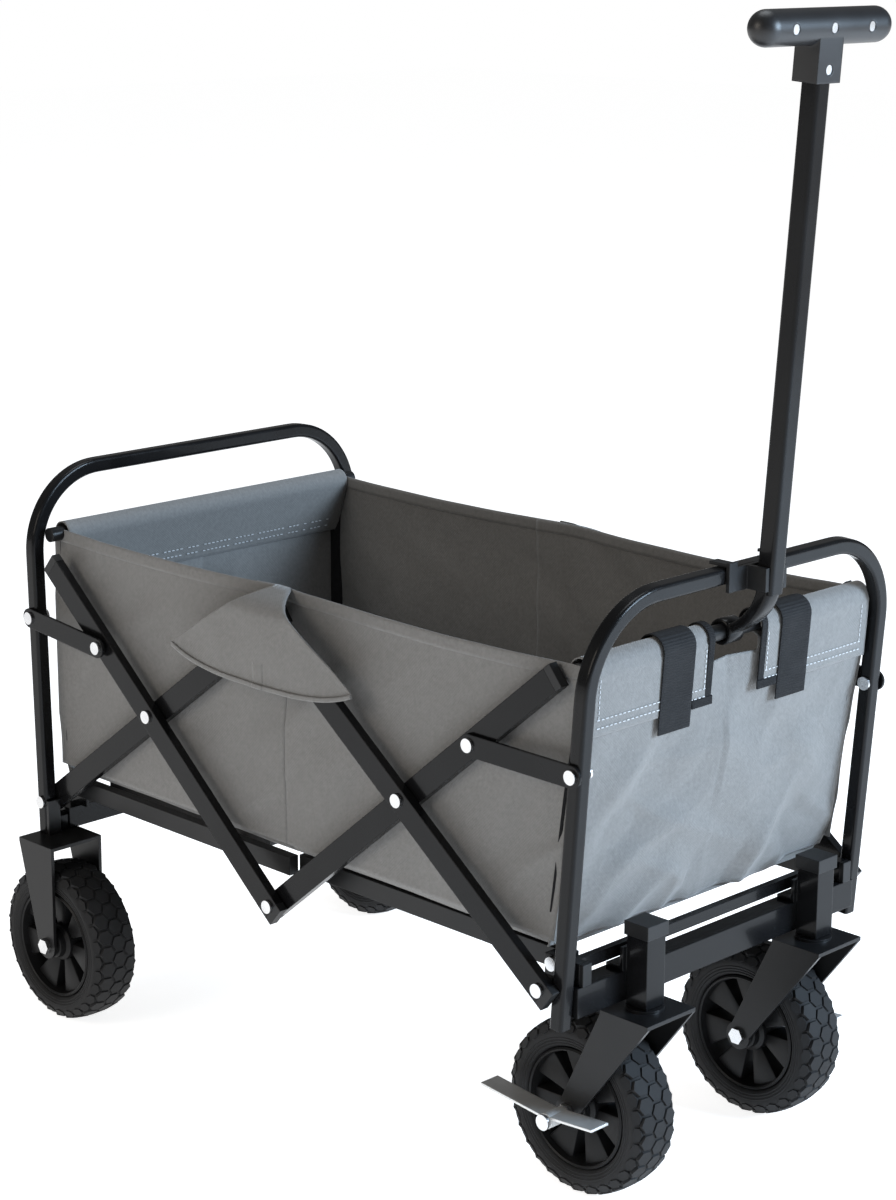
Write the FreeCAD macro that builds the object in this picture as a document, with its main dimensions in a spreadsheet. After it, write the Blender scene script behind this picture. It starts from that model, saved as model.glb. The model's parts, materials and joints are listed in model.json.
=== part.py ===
import FreeCAD, Part
import math
import os
import Sketcher

# Folding utility wagon with a pull handle. Millimetres, +X forward (handle end), +Y left, +Z up.
# X is counted from the middle of the whole wagon. "near" is the right-hand side (-Y), "far" is +Y.

DRIVING_SIZES = {
    # where the rear fold pivot stands, and how far apart the two lower fold pivots are
    "rear_pivot_x": -418.7,
    "pivot_span": 768.0,
    "pivot_height": 246.0,
    # scissor bars
    "crossing_x": 190.0,
    "crossing_height": 387.0,
    "bottom_joint_height": 224.0,
    "rear_top_reach": 168.0,
    "front_top_reach": 196.0,
    "bar_thickness": 10.0,
    "bar_width": 25.0,
    "bar_end_margin": 15.0,
    "bar_cap_length": 9.0,
    "outer_bar_plane": 234.0,
    "inner_bar_plane": 222.0,
    "bolt_radius": 4.0,
    "bolt_head_radius": 7.0,
    "bolt_head_height": 2.5,
    "running_gap": 0.05,
    "open_joint_gap": 4.2,
    # end hoops
    "leg_tube": 16.0,
    "leg_corner": 3.5,
    "rear_leg_y": 235.0,
    "front_leg_y": 220.0,
    "hoop_corner_radius": 88.0,
    "hoop_top": 621.0,
    "rear_leg_bottom": 209.25,
    "front_leg_bottom": 206.0,
    "rear_lean": 1.4,
    "front_lean": 4.2,
    "front_leg_offset": 15.5,
    "rod_radius": 8.0,
    "rod_height": 555.0,
    "rod_setback": 17.5,
    "crossbar_depth": 20.0,
    "rear_crossbar_height": 24.0,
    "front_crossbar_height": 30.0,
    "front_crossbar_z": 232.0,
    # short links between legs and bars
    "link_height": 461.0,
    "link_reach": 115.0,
    "front_link_end": -101.0,
    "link_thickness": 3.0,
    "link_width": 22.0,
    # folding bottom frame
    "rail_inset": 12.0,
    "rail_height": 260.0,
    "rail_tube_height": 20.0,
    "rail_tube_width": 12.0,
    "rear_rail_y": 202.0,
    "front_rail_y": 188.0,
    "rail_overhang": 12.0,
    "batten": 10.0,
    "bracket_margin": 9.0,
    "stub_length": 44.0,
    "stub_cap": 5.0,
    "tab_thickness": 6.0,
    "tab_height": 22.0,
    "batten_end_gap": 52.0,
    "batten_middle_gap": 104.0,
    "board_thickness": 8.0,
    "board_half_width": 180.5,
    "board_middle_gap": 62.0,
    "board_end_gap": 34.0,
    "bracket_thickness": 4.0,
    # wheels
    "wheel_radius": 90.0,
    "tyre_width": 56.0,
    "tyre_depth": 28.0,
    "tyre_round": 15.0,
    "rim_width": 44.0,
    "rim_ring": 8.0,
    "hub_radius": 19.0,
    "spoke_count": 7.0,
    "spoke_depth": 31.0,
    "spoke_root": 13.0,
    "spoke_tip": 34.0,
    "spoke_overlap": 3.0,
    "axle_radius": 5.0,
    "rear_axle_x": 37.0,
    "fork_plate": 4.0,
    "fork_gap": 3.0,
    "fork_top": 209.0,
    "rear_crown_front": 52.0,
    "gusset_height": 40.0,
    # casters
    "caster_post_x": 808.0,
    "caster_y": 131.0,
    "caster_trail": 66.0,
    "crown_front": 34.0,
    "crown_back": 26.0,
    "bearing_radius": 19.0,
    "bearing_height": 3.0,
    "stem_radius": 6.0,
    "stem_length": 34.0,
    "ear_width": 36.0,
    "ear_thickness": 4.0,
    "ear_rise": 24.0,
    "post_tube": 26.0,
    "post_top": 284.0,
    "cap_tube": 30.0,
    "cap_height": 14.0,
    "swivel_gap": 0.4,
    # handle
    "pole_tube": 20.0,
    "pole_corner": 4.0,
    "pole_lean": 3.9,
    "pole_foot_x": 838.0,
    "pole_foot_z": 601.0,
    "pole_length": 504.0,
    "arm_width": 22.0,
    "arm_thickness": 7.0,
    "grip_radius": 16.5,
    "grip_half_length": 94.0,
    "socket_tube": 28.0,
    "socket_length": 44.0,
    # fabric
    "fabric": 3.0,
    "panel_bottom": 281.0,
    "side_fabric_y": 209.5,
    "side_fabric_bottom": 292.0,
    "side_fabric_top": 560.0,
    "side_fabric_gap": 22.0,
    "middle_slit": 2.0,
    "end_half_width": 204.0,
    "sleeve_gap": 1.2,
    "handle_slot_half": 37.0,
    "handle_slot_drop": 84.0,
    "strap_width": 46.0,
    "strap_y": 88.0,
    "strap_thickness": 1.6,
    "strap_length": 82.0,
    "flap_y": 245.0,
    "flap_bottom": 468.0,
    "flap_half_length": 140.0,
    "flap_half_top": 55.0,
}

doc = FreeCAD.newDocument("utility_wagon")
sheet = doc.addObject("Spreadsheet::Sheet", "Sizes")
for row, (alias, number) in enumerate(DRIVING_SIZES.items(), start=1):
    sheet.set("A%d" % row, str(number))
    sheet.setAlias("A%d" % row, alias)
doc.recompute()

finished = []
Vector = FreeCAD.Vector
Y_AXIS = Vector(0, 1, 0)
SIDES = {"near": -1, "far": 1}


def size(alias):
    """The value of one cell of the sheet."""
    return float(sheet.get(alias))


def bound(text):
    """An expression on the sheet, from words that are aliases."""
    words = []
    for word in text.split():
        words.append("Sizes." + word if word in DRIVING_SIZES else word)
    return " ".join(words)


def at_x(distance):
    """X in the wagon's frame of a point that is this far forward of the rear fold pivot."""
    return size("rear_pivot_x") + distance


def finish(item, label):
    """Name a finished sub-part and keep it for export."""
    item.Label = label
    finished.append(item)
    return item


def box(name, centre, lengths, turn=0.0, about=None):
    """A box of bound sizes about its centre, then turned about Y through a point."""
    item = doc.addObject("Part::Box", name)
    for side_name, text in zip(("Length", "Width", "Height"), lengths):
        item.setExpression(side_name, bound(text))
    doc.recompute()
    half = Vector(item.Length.Value, item.Width.Value, item.Height.Value) * 0.5
    placement = FreeCAD.Placement(Vector(*centre) - half, FreeCAD.Rotation())
    pivot = Vector(*(about or centre))
    turning = FreeCAD.Placement(Vector(), FreeCAD.Rotation(Y_AXIS, turn), pivot)
    item.Placement = turning.multiply(placement)
    return item


def rod(name, start, direction, radius, length):
    """A cylinder of bound radius and length that starts at a point and runs along a direction."""
    item = doc.addObject("Part::Cylinder", name)
    item.setExpression("Radius", bound(radius))
    item.setExpression("Height", bound(length))
    item.Placement = FreeCAD.Placement(Vector(*start), FreeCAD.Rotation(Vector(0, 0, 1), Vector(*direction)))
    return item


def joined(name, items):
    """One solid from several that meet."""
    item = doc.addObject("Part::MultiFuse", name)
    item.Shapes = items
    item.Refine = True
    return item


def cut(name, base, tools):
    """A solid less one or more others."""
    item = doc.addObject("Part::Cut", name)
    item.Base = base
    item.Tool = tools[0] if len(tools) == 1 else joined(name + "_tools", tools)
    return item


def group(name, items):
    """Separate solids of one kind that make one sub-part."""
    item = doc.addObject("Part::Compound", name)
    item.Links = items
    return item


def slope_angle(start, end):
    """Turn about Y that lays a box's length along a line in the XZ plane."""
    return -math.degrees(math.atan2(end[1] - start[1], end[0] - start[0]))


# ---------------------------------------------------------------- fold geometry
# Points of the scissor as (x, z). Bars "outer" lie in the outer plane, bars "inner" in the inner plane.
REAR_PIVOT = (at_x(0.0), size("pivot_height"))
FRONT_PIVOT = (at_x(size("pivot_span")), size("pivot_height"))
MIDDLE_X = at_x(size("pivot_span") / 2)
REAR_CROSSING = (at_x(size("crossing_x")), size("crossing_height"))
FRONT_CROSSING = (at_x(size("pivot_span") - size("crossing_x")), size("crossing_height"))
BOTTOM_JOINT = (MIDDLE_X, size("bottom_joint_height"))
INNER_SLOPE = (size("crossing_height") - size("pivot_height")) / size("crossing_x")
HALF_BAY = size("pivot_span") / 2 - size("crossing_x")
OUTER_SLOPE = (size("crossing_height") - size("bottom_joint_height")) / HALF_BAY
TOP_JOINT = (MIDDLE_X, size("crossing_height") + HALF_BAY * INNER_SLOPE)
REAR_TOP = (REAR_CROSSING[0] - size("rear_top_reach"),
            size("crossing_height") + size("rear_top_reach") * OUTER_SLOPE)
FRONT_TOP = (FRONT_CROSSING[0] + size("front_top_reach"),
             size("crossing_height") + size("front_top_reach") * OUTER_SLOPE)
FRONT_LEG_FOOT_X = at_x(size("pivot_span") + size("front_leg_offset"))


def rear_leg_x(height):
    """X of the rear hoop's centre line, which leans back as it rises."""
    return at_x(0.0) - math.tan(math.radians(size("rear_lean"))) * (height - size("pivot_height"))


def front_leg_x(height):
    """X of the front hoop's centre line, which leans forward as it rises."""
    return FRONT_LEG_FOOT_X + math.tan(math.radians(size("front_lean"))) * (height - size("pivot_height"))


ROD_REAR_X = rear_leg_x(size("rod_height")) + size("rod_setback")
ROD_FRONT_X = front_leg_x(size("rod_height")) - size("rod_setback")


# ---------------------------------------------------------------- end hoops
def hoop(label, leg_y, bottom, foot_x, turn):
    """An upside-down U of square tube: a rounded square swept along legs, bends and top."""
    body = doc.addObject("PartDesign::Body", label + "_body")
    planes = {feature.Role: feature for feature in body.Origin.OriginFeatures}
    path = body.newObject("Sketcher::SketchObject", label + "_path")
    path.AttachmentSupport = [(planes["YZ_Plane"], "")]
    path.MapMode = "FlatFace"
    half_width = size(leg_y)
    radius = size("hoop_corner_radius")
    top = size("hoop_top")
    low = size(bottom)
    shoulder = top - radius
    flat = half_width - radius
    normal = Vector(0, 0, 1)
    left_bend = Part.ArcOfCircle(Part.Circle(Vector(-flat, shoulder, 0), normal, radius), math.pi / 2, math.pi)
    right_bend = Part.ArcOfCircle(Part.Circle(Vector(flat, shoulder, 0), normal, radius), 0, math.pi / 2)
    path.addGeometry(Part.LineSegment(Vector(-half_width, low, 0), Vector(-half_width, shoulder, 0)))
    path.addGeometry(left_bend)
    path.addGeometry(Part.LineSegment(Vector(-flat, top, 0), Vector(flat, top, 0)))
    path.addGeometry(right_bend)
    path.addGeometry(Part.LineSegment(Vector(half_width, shoulder, 0), Vector(half_width, low, 0)))
    start_of, end_of = 1, 2
    for first, first_end, second, second_end in (
            (0, end_of, 1, end_of), (1, start_of, 2, start_of), (2, end_of, 3, end_of), (3, start_of, 4, start_of)):
        path.addConstraint(Sketcher.Constraint("Tangent", first, first_end, second, second_end))
    path.addConstraint(Sketcher.Constraint("Vertical", 0))
    path.addConstraint(Sketcher.Constraint("Horizontal", 2))
    path.addConstraint(Sketcher.Constraint("Equal", 1, 3))
    origin = (-1, 1)
    bend = path.addConstraint(Sketcher.Constraint("Radius", 1, radius))
    path.setExpression("Constraints[%d]" % bend, bound("hoop_corner_radius"))
    left = path.addConstraint(Sketcher.Constraint("DistanceX", 0, start_of, *origin, half_width))
    path.setExpression("Constraints[%d]" % left, bound(leg_y))
    right = path.addConstraint(Sketcher.Constraint("DistanceX", *origin, 4, end_of, half_width))
    path.setExpression("Constraints[%d]" % right, bound(leg_y))
    foot = path.addConstraint(Sketcher.Constraint("DistanceY", *origin, 0, start_of, low))
    path.setExpression("Constraints[%d]" % foot, bound(bottom))
    crown = path.addConstraint(Sketcher.Constraint("DistanceY", *origin, 2, start_of, top))
    path.setExpression("Constraints[%d]" % crown, bound("hoop_top"))
    path.addConstraint(Sketcher.Constraint("DistanceY", *origin, 4, end_of, low))
    section = rounded_square(body, label + "_section", planes["XY_Plane"], "leg_tube", "leg_corner",
                             Vector(0, -half_width, low))
    pipe = body.newObject("PartDesign::AdditivePipe", label + "_tube")
    pipe.Profile = section
    pipe.Spine = path
    body.Tip = pipe
    lean = FreeCAD.Placement(Vector(), FreeCAD.Rotation(Y_AXIS, turn), Vector(0, 0, size("pivot_height")))
    body.Placement = FreeCAD.Placement(Vector(foot_x, 0, 0), FreeCAD.Rotation()).multiply(lean)
    return finish(body, label)


def rounded_square(body, name, plane, across, corner, place):
    """A square with rounded corners, centred on a point of a plane."""
    sketch = body.newObject("Sketcher::SketchObject", name)
    sketch.AttachmentSupport = [(plane, "")]
    sketch.MapMode = "FlatFace"
    sketch.AttachmentOffset = FreeCAD.Placement(place, FreeCAD.Rotation())
    half = size(across) / 2
    radius = size(corner)
    flat = half - radius
    normal = Vector(0, 0, 1)
    for quarter in range(4):
        turn = FreeCAD.Rotation(normal, 90 * quarter)
        line = Part.LineSegment(turn.multVec(Vector(half, -flat, 0)), turn.multVec(Vector(half, flat, 0)))
        centre = turn.multVec(Vector(flat, flat, 0))
        first = math.pi / 2 * quarter
        sketch.addGeometry(line)
        sketch.addGeometry(Part.ArcOfCircle(Part.Circle(centre, normal, radius), first, first + math.pi / 2))
    for index in range(8):
        sketch.addConstraint(Sketcher.Constraint("Tangent", index, 2, (index + 1) % 8, 1))
    sketch.addConstraint(Sketcher.Constraint("Vertical", 0))
    sketch.addConstraint(Sketcher.Constraint("Symmetric", 0, 1, 4, 1, -1, 1))
    for arc in (3, 5, 7):
        sketch.addConstraint(Sketcher.Constraint("Equal", 1, arc))
    rounding = sketch.addConstraint(Sketcher.Constraint("Radius", 1, radius))
    sketch.setExpression("Constraints[%d]" % rounding, bound(corner))
    width = sketch.addConstraint(Sketcher.Constraint("DistanceX", 4, 1, 0, 1, 2 * half))
    sketch.setExpression("Constraints[%d]" % width, bound(across))
    height = sketch.addConstraint(Sketcher.Constraint("DistanceY", 6, 1, 2, 1, 2 * half))
    sketch.setExpression("Constraints[%d]" % height, bound(across))
    return sketch


hoop("rear_hoop", "rear_leg_y", "rear_leg_bottom", at_x(0.0), -size("rear_lean"))
hoop("front_hoop", "front_leg_y", "front_leg_bottom", FRONT_LEG_FOOT_X, size("front_lean"))


def cross_rod(label, x, leg_y):
    """Round rod between the inner faces of a hoop's legs, set just inside the hoop."""
    reach = size(leg_y) - size("leg_tube") / 2
    bar = rod(label + "_bar", (x, -reach, size("rod_height")), (0, 1, 0), "rod_radius",
              "2 * " + leg_y + " - leg_tube")
    return finish(group(label, [bar]), label)


cross_rod("rear_rod", ROD_REAR_X, "rear_leg_y")
cross_rod("front_rod", ROD_FRONT_X, "front_leg_y")


# ---------------------------------------------------------------- scissor bars
def bar_solids(name, start, end, plane, holes):
    """Near and far copies of one rectangular bar and of its two end caps, drilled at its joints."""
    angle = slope_angle(start, end)
    along = Vector(math.cos(math.radians(angle)), 0, -math.sin(math.radians(angle)))
    first = Vector(start[0], 0, start[1])
    length = math.hypot(end[0] - start[0], end[1] - start[1])
    cap_length = size("bar_cap_length")
    tubes = []
    caps = []
    for side, sign in SIDES.items():
        offset = Vector(0, sign * size(plane), 0)
        stem = name + "_" + side
        tube = doc.addObject("Part::Box", stem + "_tube")
        tube.Length = length - 2 * cap_length
        tube.setExpression("Width", bound("bar_thickness"))
        tube.setExpression("Height", bound("bar_width"))
        corner = Vector(0, -size("bar_thickness") / 2, -size("bar_width") / 2)
        turn = FreeCAD.Rotation(Y_AXIS, angle)
        tube.Placement = FreeCAD.Placement(first + offset + along * cap_length + turn.multVec(corner), turn)
        drills = []
        for number, (hole, radius) in enumerate(holes):
            begin = (hole[0], sign * size(plane) - size("bar_thickness"), hole[1])
            drills.append(rod("%s_hole_%d" % (stem, number), begin, (0, 1, 0), radius, "2 * bar_thickness"))
        tubes.append(cut(stem, tube, drills))
        for number, place in enumerate((0.0, length - cap_length)):
            cap = doc.addObject("Part::Box", "%s_cap_%d" % (stem, number))
            cap.setExpression("Length", bound("bar_cap_length"))
            cap.setExpression("Width", bound("bar_thickness"))
            cap.setExpression("Height", bound("bar_width"))
            cap.Placement = FreeCAD.Placement(first + offset + along * place + turn.multVec(corner), turn)
            caps.append(cap)
    finish(group(name + "_group", tubes), name)
    finish(group(name + "_caps_group", caps), name + "_caps")


def past(point, towards, distance):
    """The point this far beyond a point, on the line that comes from another one."""
    length = math.hypot(point[0] - towards[0], point[1] - towards[1])
    return (point[0] + (point[0] - towards[0]) / length * distance,
            point[1] + (point[1] - towards[1]) / length * distance)


def pins(label, point, outer, inner, with_inner_head=True):
    """Near and far bolts across a joint, from an outer to an inner |Y|, with a head outside both faces."""
    solids = []
    for side, sign in SIDES.items():
        stem = "%s_%s" % (label, side)
        begin = (point[0], sign * inner, point[1])
        shank = doc.addObject("Part::Cylinder", stem + "_shank")
        shank.setExpression("Radius", bound("bolt_radius"))
        shank.Height = outer - inner
        shank.Placement = FreeCAD.Placement(
            Vector(*begin), FreeCAD.Rotation(Vector(0, 0, 1), Vector(0, sign, 0)))
        heads = [rod(stem + "_outer_head", (point[0], sign * outer, point[1]), (0, sign, 0),
                     "bolt_head_radius", "bolt_head_height")]
        if with_inner_head:
            heads.append(rod(stem + "_inner_head", begin, (0, -sign, 0), "bolt_head_radius", "bolt_head_height"))
        solids.append(joined(stem, [shank] + heads))
    return solids


TIGHT_HOLE = "bolt_radius + running_gap"
OPEN_HOLE = "bolt_radius + open_joint_gap"
END_MARGIN = size("bar_end_margin")
HALF_BAR = size("bar_thickness") / 2
HEAD_GAP = 0.3
OUTER_FACE = size("outer_bar_plane") + HALF_BAR + HEAD_GAP
INNER_FACE = size("inner_bar_plane") - HALF_BAR - HEAD_GAP

bar_solids("bars_b", past(REAR_PIVOT, TOP_JOINT, END_MARGIN), past(TOP_JOINT, REAR_PIVOT, END_MARGIN),
           "inner_bar_plane", [(REAR_PIVOT, TIGHT_HOLE), (REAR_CROSSING, TIGHT_HOLE), (TOP_JOINT, TIGHT_HOLE)])
REAR_LINK_END_X = at_x(size("link_reach"))
REAR_LINK_END = (REAR_LINK_END_X, REAR_CROSSING[1] + (REAR_CROSSING[0] - REAR_LINK_END_X) * OUTER_SLOPE)
bar_solids("bars_a", past(BOTTOM_JOINT, REAR_CROSSING, END_MARGIN), REAR_TOP,
           "outer_bar_plane", [(BOTTOM_JOINT, TIGHT_HOLE), (REAR_CROSSING, TIGHT_HOLE)])
FRONT_LINK_END_X = at_x(size("pivot_span") + size("front_link_end"))
FRONT_LINK_END = (FRONT_LINK_END_X, FRONT_CROSSING[1] + (FRONT_LINK_END_X - FRONT_CROSSING[0]) * OUTER_SLOPE)
bar_solids("bars_c", past(BOTTOM_JOINT, FRONT_CROSSING, END_MARGIN), FRONT_TOP,
           "inner_bar_plane", [(BOTTOM_JOINT, TIGHT_HOLE), (FRONT_CROSSING, TIGHT_HOLE)])
bar_solids("bars_d", past(FRONT_PIVOT, TOP_JOINT, END_MARGIN), past(TOP_JOINT, FRONT_PIVOT, END_MARGIN),
           "outer_bar_plane", [(FRONT_PIVOT, TIGHT_HOLE), (FRONT_CROSSING, TIGHT_HOLE), (TOP_JOINT, OPEN_HOLE)])

finish(group("bars_b_bolt_group", pins("rear_crossing_bolt", REAR_CROSSING, OUTER_FACE, INNER_FACE)
             + pins("top_joint_bolt", TOP_JOINT, OUTER_FACE, INNER_FACE)), "bars_b_bolts")
finish(group("bars_a_bolt_group", pins("bottom_joint_bolt", BOTTOM_JOINT, OUTER_FACE, INNER_FACE)), "bars_a_bolts")
finish(group("bars_d_bolt_group", pins("front_crossing_bolt", FRONT_CROSSING, OUTER_FACE, INNER_FACE)),
       "bars_d_bolts")


# ---------------------------------------------------------------- pivots on the legs, and the links
def drilled(label, holes):
    """Drill a finished sub-part along Y, and keep the drilled one in its place."""
    base = next(item for item in finished if item.Label == label)
    finished.remove(base)
    base.Label = label + "_blank"
    reach = size("rear_leg_y") + size("leg_tube")
    tools = []
    for number, (point, radius) in enumerate(holes):
        begin = (point[0], -reach, point[1])
        tools.append(rod("%s_drill_%d" % (label, number), begin, (0, 1, 0), radius, "2 * rear_leg_y + 2 * leg_tube"))
    return finish(cut(label + "_drilled", base, tools), label)


REAR_LEG_OUTSIDE = size("rear_leg_y") + size("leg_tube") / 2 + HEAD_GAP
FRONT_LEG_INSIDE = size("front_leg_y") - size("leg_tube") / 2 - HEAD_GAP
FRONT_LEG_OUTSIDE = size("front_leg_y") + size("leg_tube") / 2 + HEAD_GAP
REAR_LINK_ROOT = (rear_leg_x(size("link_height")), size("link_height"))
FRONT_LINK_ROOT = (front_leg_x(size("link_height")), size("link_height"))
drilled("rear_hoop", [(REAR_PIVOT, TIGHT_HOLE), (REAR_LINK_ROOT, TIGHT_HOLE)])
drilled("front_hoop", [(FRONT_LINK_ROOT, TIGHT_HOLE)])
finish(group("rear_pivot_bolt_group", pins("rear_pivot_bolt", REAR_PIVOT, REAR_LEG_OUTSIDE, INNER_FACE)),
       "rear_pivot_bolts")


def link(label, root, end, near_face, bush_inner):
    """Near and far flat links between a leg and a bar, drilled at both ends, with a bush at the bar's end."""
    angle = slope_angle(root, end)
    solids = []
    for side, sign in SIDES.items():
        stem = label + "_" + side
        middle = ((root[0] + end[0]) / 2, sign * (near_face + size("link_thickness") / 2), (root[1] + end[1]) / 2)
        flat = doc.addObject("Part::Box", stem + "_flat")
        flat.Length = math.hypot(end[0] - root[0], end[1] - root[1])
        flat.setExpression("Width", bound("link_thickness"))
        flat.setExpression("Height", bound("link_width"))
        half = Vector(flat.Length.Value / 2, size("link_thickness") / 2, size("link_width") / 2)
        turn = FreeCAD.Rotation(Y_AXIS, angle)
        flat.Placement = FreeCAD.Placement(Vector(*middle) - turn.multVec(half), turn)
        pieces = [flat]
        for number, point in enumerate((root, end)):
            begin = (point[0], sign * near_face, point[1])
            pieces.append(rod("%s_round_%d" % (stem, number), begin, (0, sign, 0), "link_width / 2",
                              "link_thickness"))
        if bush_inner < near_face:
            bush = doc.addObject("Part::Cylinder", stem + "_bush")
            bush.setExpression("Radius", bound("bolt_head_radius"))
            bush.Height = near_face - bush_inner
            bush.Placement = FreeCAD.Placement(
                Vector(end[0], sign * bush_inner, end[1]), FreeCAD.Rotation(Vector(0, 0, 1), Vector(0, sign, 0)))
            pieces.append(bush)
        holes = []
        for number, point in enumerate((root, end)):
            begin = (point[0], sign * (bush_inner - size("link_thickness")), point[1])
            holes.append(rod("%s_bore_%d" % (stem, number), begin, (0, sign, 0), TIGHT_HOLE, "leg_tube"))
        solids.append(cut(stem, joined(stem + "_blank", pieces), holes))
    finish(group(label + "_group", solids), label)


LINK_GAP = 1.0
REAR_LINK_FACE = size("rear_leg_y") + size("leg_tube") / 2 + LINK_GAP
FRONT_LINK_FACE = size("front_leg_y") + size("leg_tube") / 2 + LINK_GAP / 2
link("rear_links", REAR_LINK_ROOT, REAR_LINK_END, REAR_LINK_FACE, OUTER_FACE)
link("front_links", FRONT_LINK_ROOT, FRONT_LINK_END, FRONT_LINK_FACE, FRONT_LINK_FACE)
REAR_LINK_OUTSIDE = REAR_LINK_FACE + size("link_thickness")
FRONT_LINK_OUTSIDE = FRONT_LINK_FACE + size("link_thickness")
LEG_INSIDE = size("rear_leg_y") - size("leg_tube") / 2 - HEAD_GAP
finish(group("rear_link_rivet_group",
             pins("rear_link_leg_rivet", REAR_LINK_ROOT, REAR_LINK_OUTSIDE, LEG_INSIDE)
             + pins("rear_link_bar_rivet", REAR_LINK_END, REAR_LINK_OUTSIDE, OUTER_FACE, False)),
       "rear_link_rivets")
finish(group("front_link_rivet_group",
             pins("front_link_leg_rivet", FRONT_LINK_ROOT, FRONT_LINK_OUTSIDE, FRONT_LEG_INSIDE)
             + pins("front_link_bar_rivet", FRONT_LINK_END, FRONT_LINK_OUTSIDE, FRONT_LINK_FACE, False)),
       "front_link_rivets")


# ---------------------------------------------------------------- crossbars and brackets
CROSSBAR_TOP = size("rear_leg_bottom") + size("rear_crossbar_height")
rear_bar = box("rear_crossbar_middle",
               (at_x(0.0), 0, size("rear_leg_bottom") + size("rear_crossbar_height") / 2),
               ("crossbar_depth", "2 * inner_bar_plane - 20", "rear_crossbar_height"))
TENON_HEIGHT = "rear_crossbar_height - 7"
rear_tenon = box("rear_crossbar_tenon", (at_x(0.0), 0, size("rear_leg_bottom") + (CROSSBAR_TOP - 7
                 - size("rear_leg_bottom")) / 2), ("leg_tube", "2 * rear_leg_y - leg_tube", TENON_HEIGHT))

FRONT_CROSSBAR_TOP = size("front_crossbar_z") + size("front_crossbar_height") / 2
finish(group("front_crossbar_group", [
    box("front_crossbar_bar", (FRONT_LEG_FOOT_X, 0, size("front_crossbar_z")),
        ("crossbar_depth + 3", "2 * front_leg_y - leg_tube", "front_crossbar_height"))]), "front_crossbar")

# brackets that carry the floor rails: plates on the rear crossbar, capped stub tubes on the front one
RAIL_HINGE_REAR = (at_x(size("rail_inset")), size("rail_height"))
RAIL_HINGE_FRONT = (at_x(size("pivot_span") - size("rail_inset")), size("rail_height"))
REAR_RAIL_INSIDE = size("rear_rail_y") - size("rail_tube_width") / 2
REAR_BRACKET_Y = REAR_RAIL_INSIDE - HEAD_GAP - size("bracket_thickness") / 2
FRONT_RAIL_OUTSIDE = size("front_rail_y") + size("rail_tube_width") / 2
STUB_Y = FRONT_RAIL_OUTSIDE + HEAD_GAP + size("rail_tube_width") / 2
BRACKET_TOP = size("rail_height") + size("bracket_margin")


def rear_rail_bracket(side, sign):
    """An upright plate on the rear crossbar, drilled for the rail's pivot."""
    x_back = at_x(-size("crossbar_depth") / 2)
    x_front = RAIL_HINGE_REAR[0] + size("bracket_margin")
    foot = box("rear_bracket_foot_" + side, ((x_back + at_x(size("crossbar_depth") / 2)) / 2, sign * REAR_BRACKET_Y,
               CROSSBAR_TOP + 5), ("crossbar_depth", "bracket_thickness", "10"))
    plate = box("rear_bracket_plate_" + side, ((at_x(0.0) + x_front) / 2, sign * REAR_BRACKET_Y,
                (CROSSBAR_TOP + BRACKET_TOP) / 2), ("rail_inset + bracket_margin", "bracket_thickness",
                "rail_height + bracket_margin - rear_leg_bottom - rear_crossbar_height"))
    hole = rod("rear_bracket_hole_" + side, (RAIL_HINGE_REAR[0], sign * (REAR_BRACKET_Y - 10), RAIL_HINGE_REAR[1]),
               (0, sign, 0), TIGHT_HOLE, "20")
    return cut("rear_bracket_" + side, joined("rear_bracket_blank_" + side, [foot, plate]), [hole])


def front_rail_stub(side, sign):
    """A short tube that stands on the front crossbar and carries the front rail's pivot."""
    x_back = RAIL_HINGE_FRONT[0] - size("bracket_margin")
    x_front = x_back + size("stub_length")
    corner = Vector(x_back, sign * STUB_Y - size("rail_tube_width") / 2, FRONT_CROSSBAR_TOP)
    tube = doc.addObject("Part::Box", "front_stub_tube_" + side)
    tube.setExpression("Length", bound("stub_length"))
    tube.setExpression("Width", bound("rail_tube_width"))
    tube.Height = BRACKET_TOP - FRONT_CROSSBAR_TOP
    tube.Placement.Base = corner
    hole = rod("front_stub_hole_" + side, (RAIL_HINGE_FRONT[0], sign * (STUB_Y - size("rail_tube_width")),
               RAIL_HINGE_FRONT[1]), (0, sign, 0), TIGHT_HOLE, "2 * rail_tube_width")
    cap = doc.addObject("Part::Box", "front_stub_cap_" + side)
    cap.setExpression("Length", bound("stub_cap"))
    cap.setExpression("Width", bound("rail_tube_width"))
    cap.Height = BRACKET_TOP - FRONT_CROSSBAR_TOP
    cap.Placement.Base = Vector(x_front, corner.y, corner.z)
    return cut("front_stub_" + side, tube, [hole]), cap


rear_brackets = [rear_rail_bracket(*each) for each in SIDES.items()]
finish(joined("rear_crossbar_solid", [rear_bar, rear_tenon] + rear_brackets), "rear_crossbar")
stubs = [front_rail_stub(*each) for each in SIDES.items()]
stub_caps = [cap for stub, cap in stubs]
lower_cross_bar = box("lower_cross_bar", (RAIL_HINGE_FRONT[0] + 22.0, 0, BRACKET_TOP - 6),
                      ("8", "2 * front_rail_y + rail_tube_width + 2", "12"))
finish(joined("rail_stub_solid", [lower_cross_bar] + [stub for stub, cap in stubs]), "rail_stubs")

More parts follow.
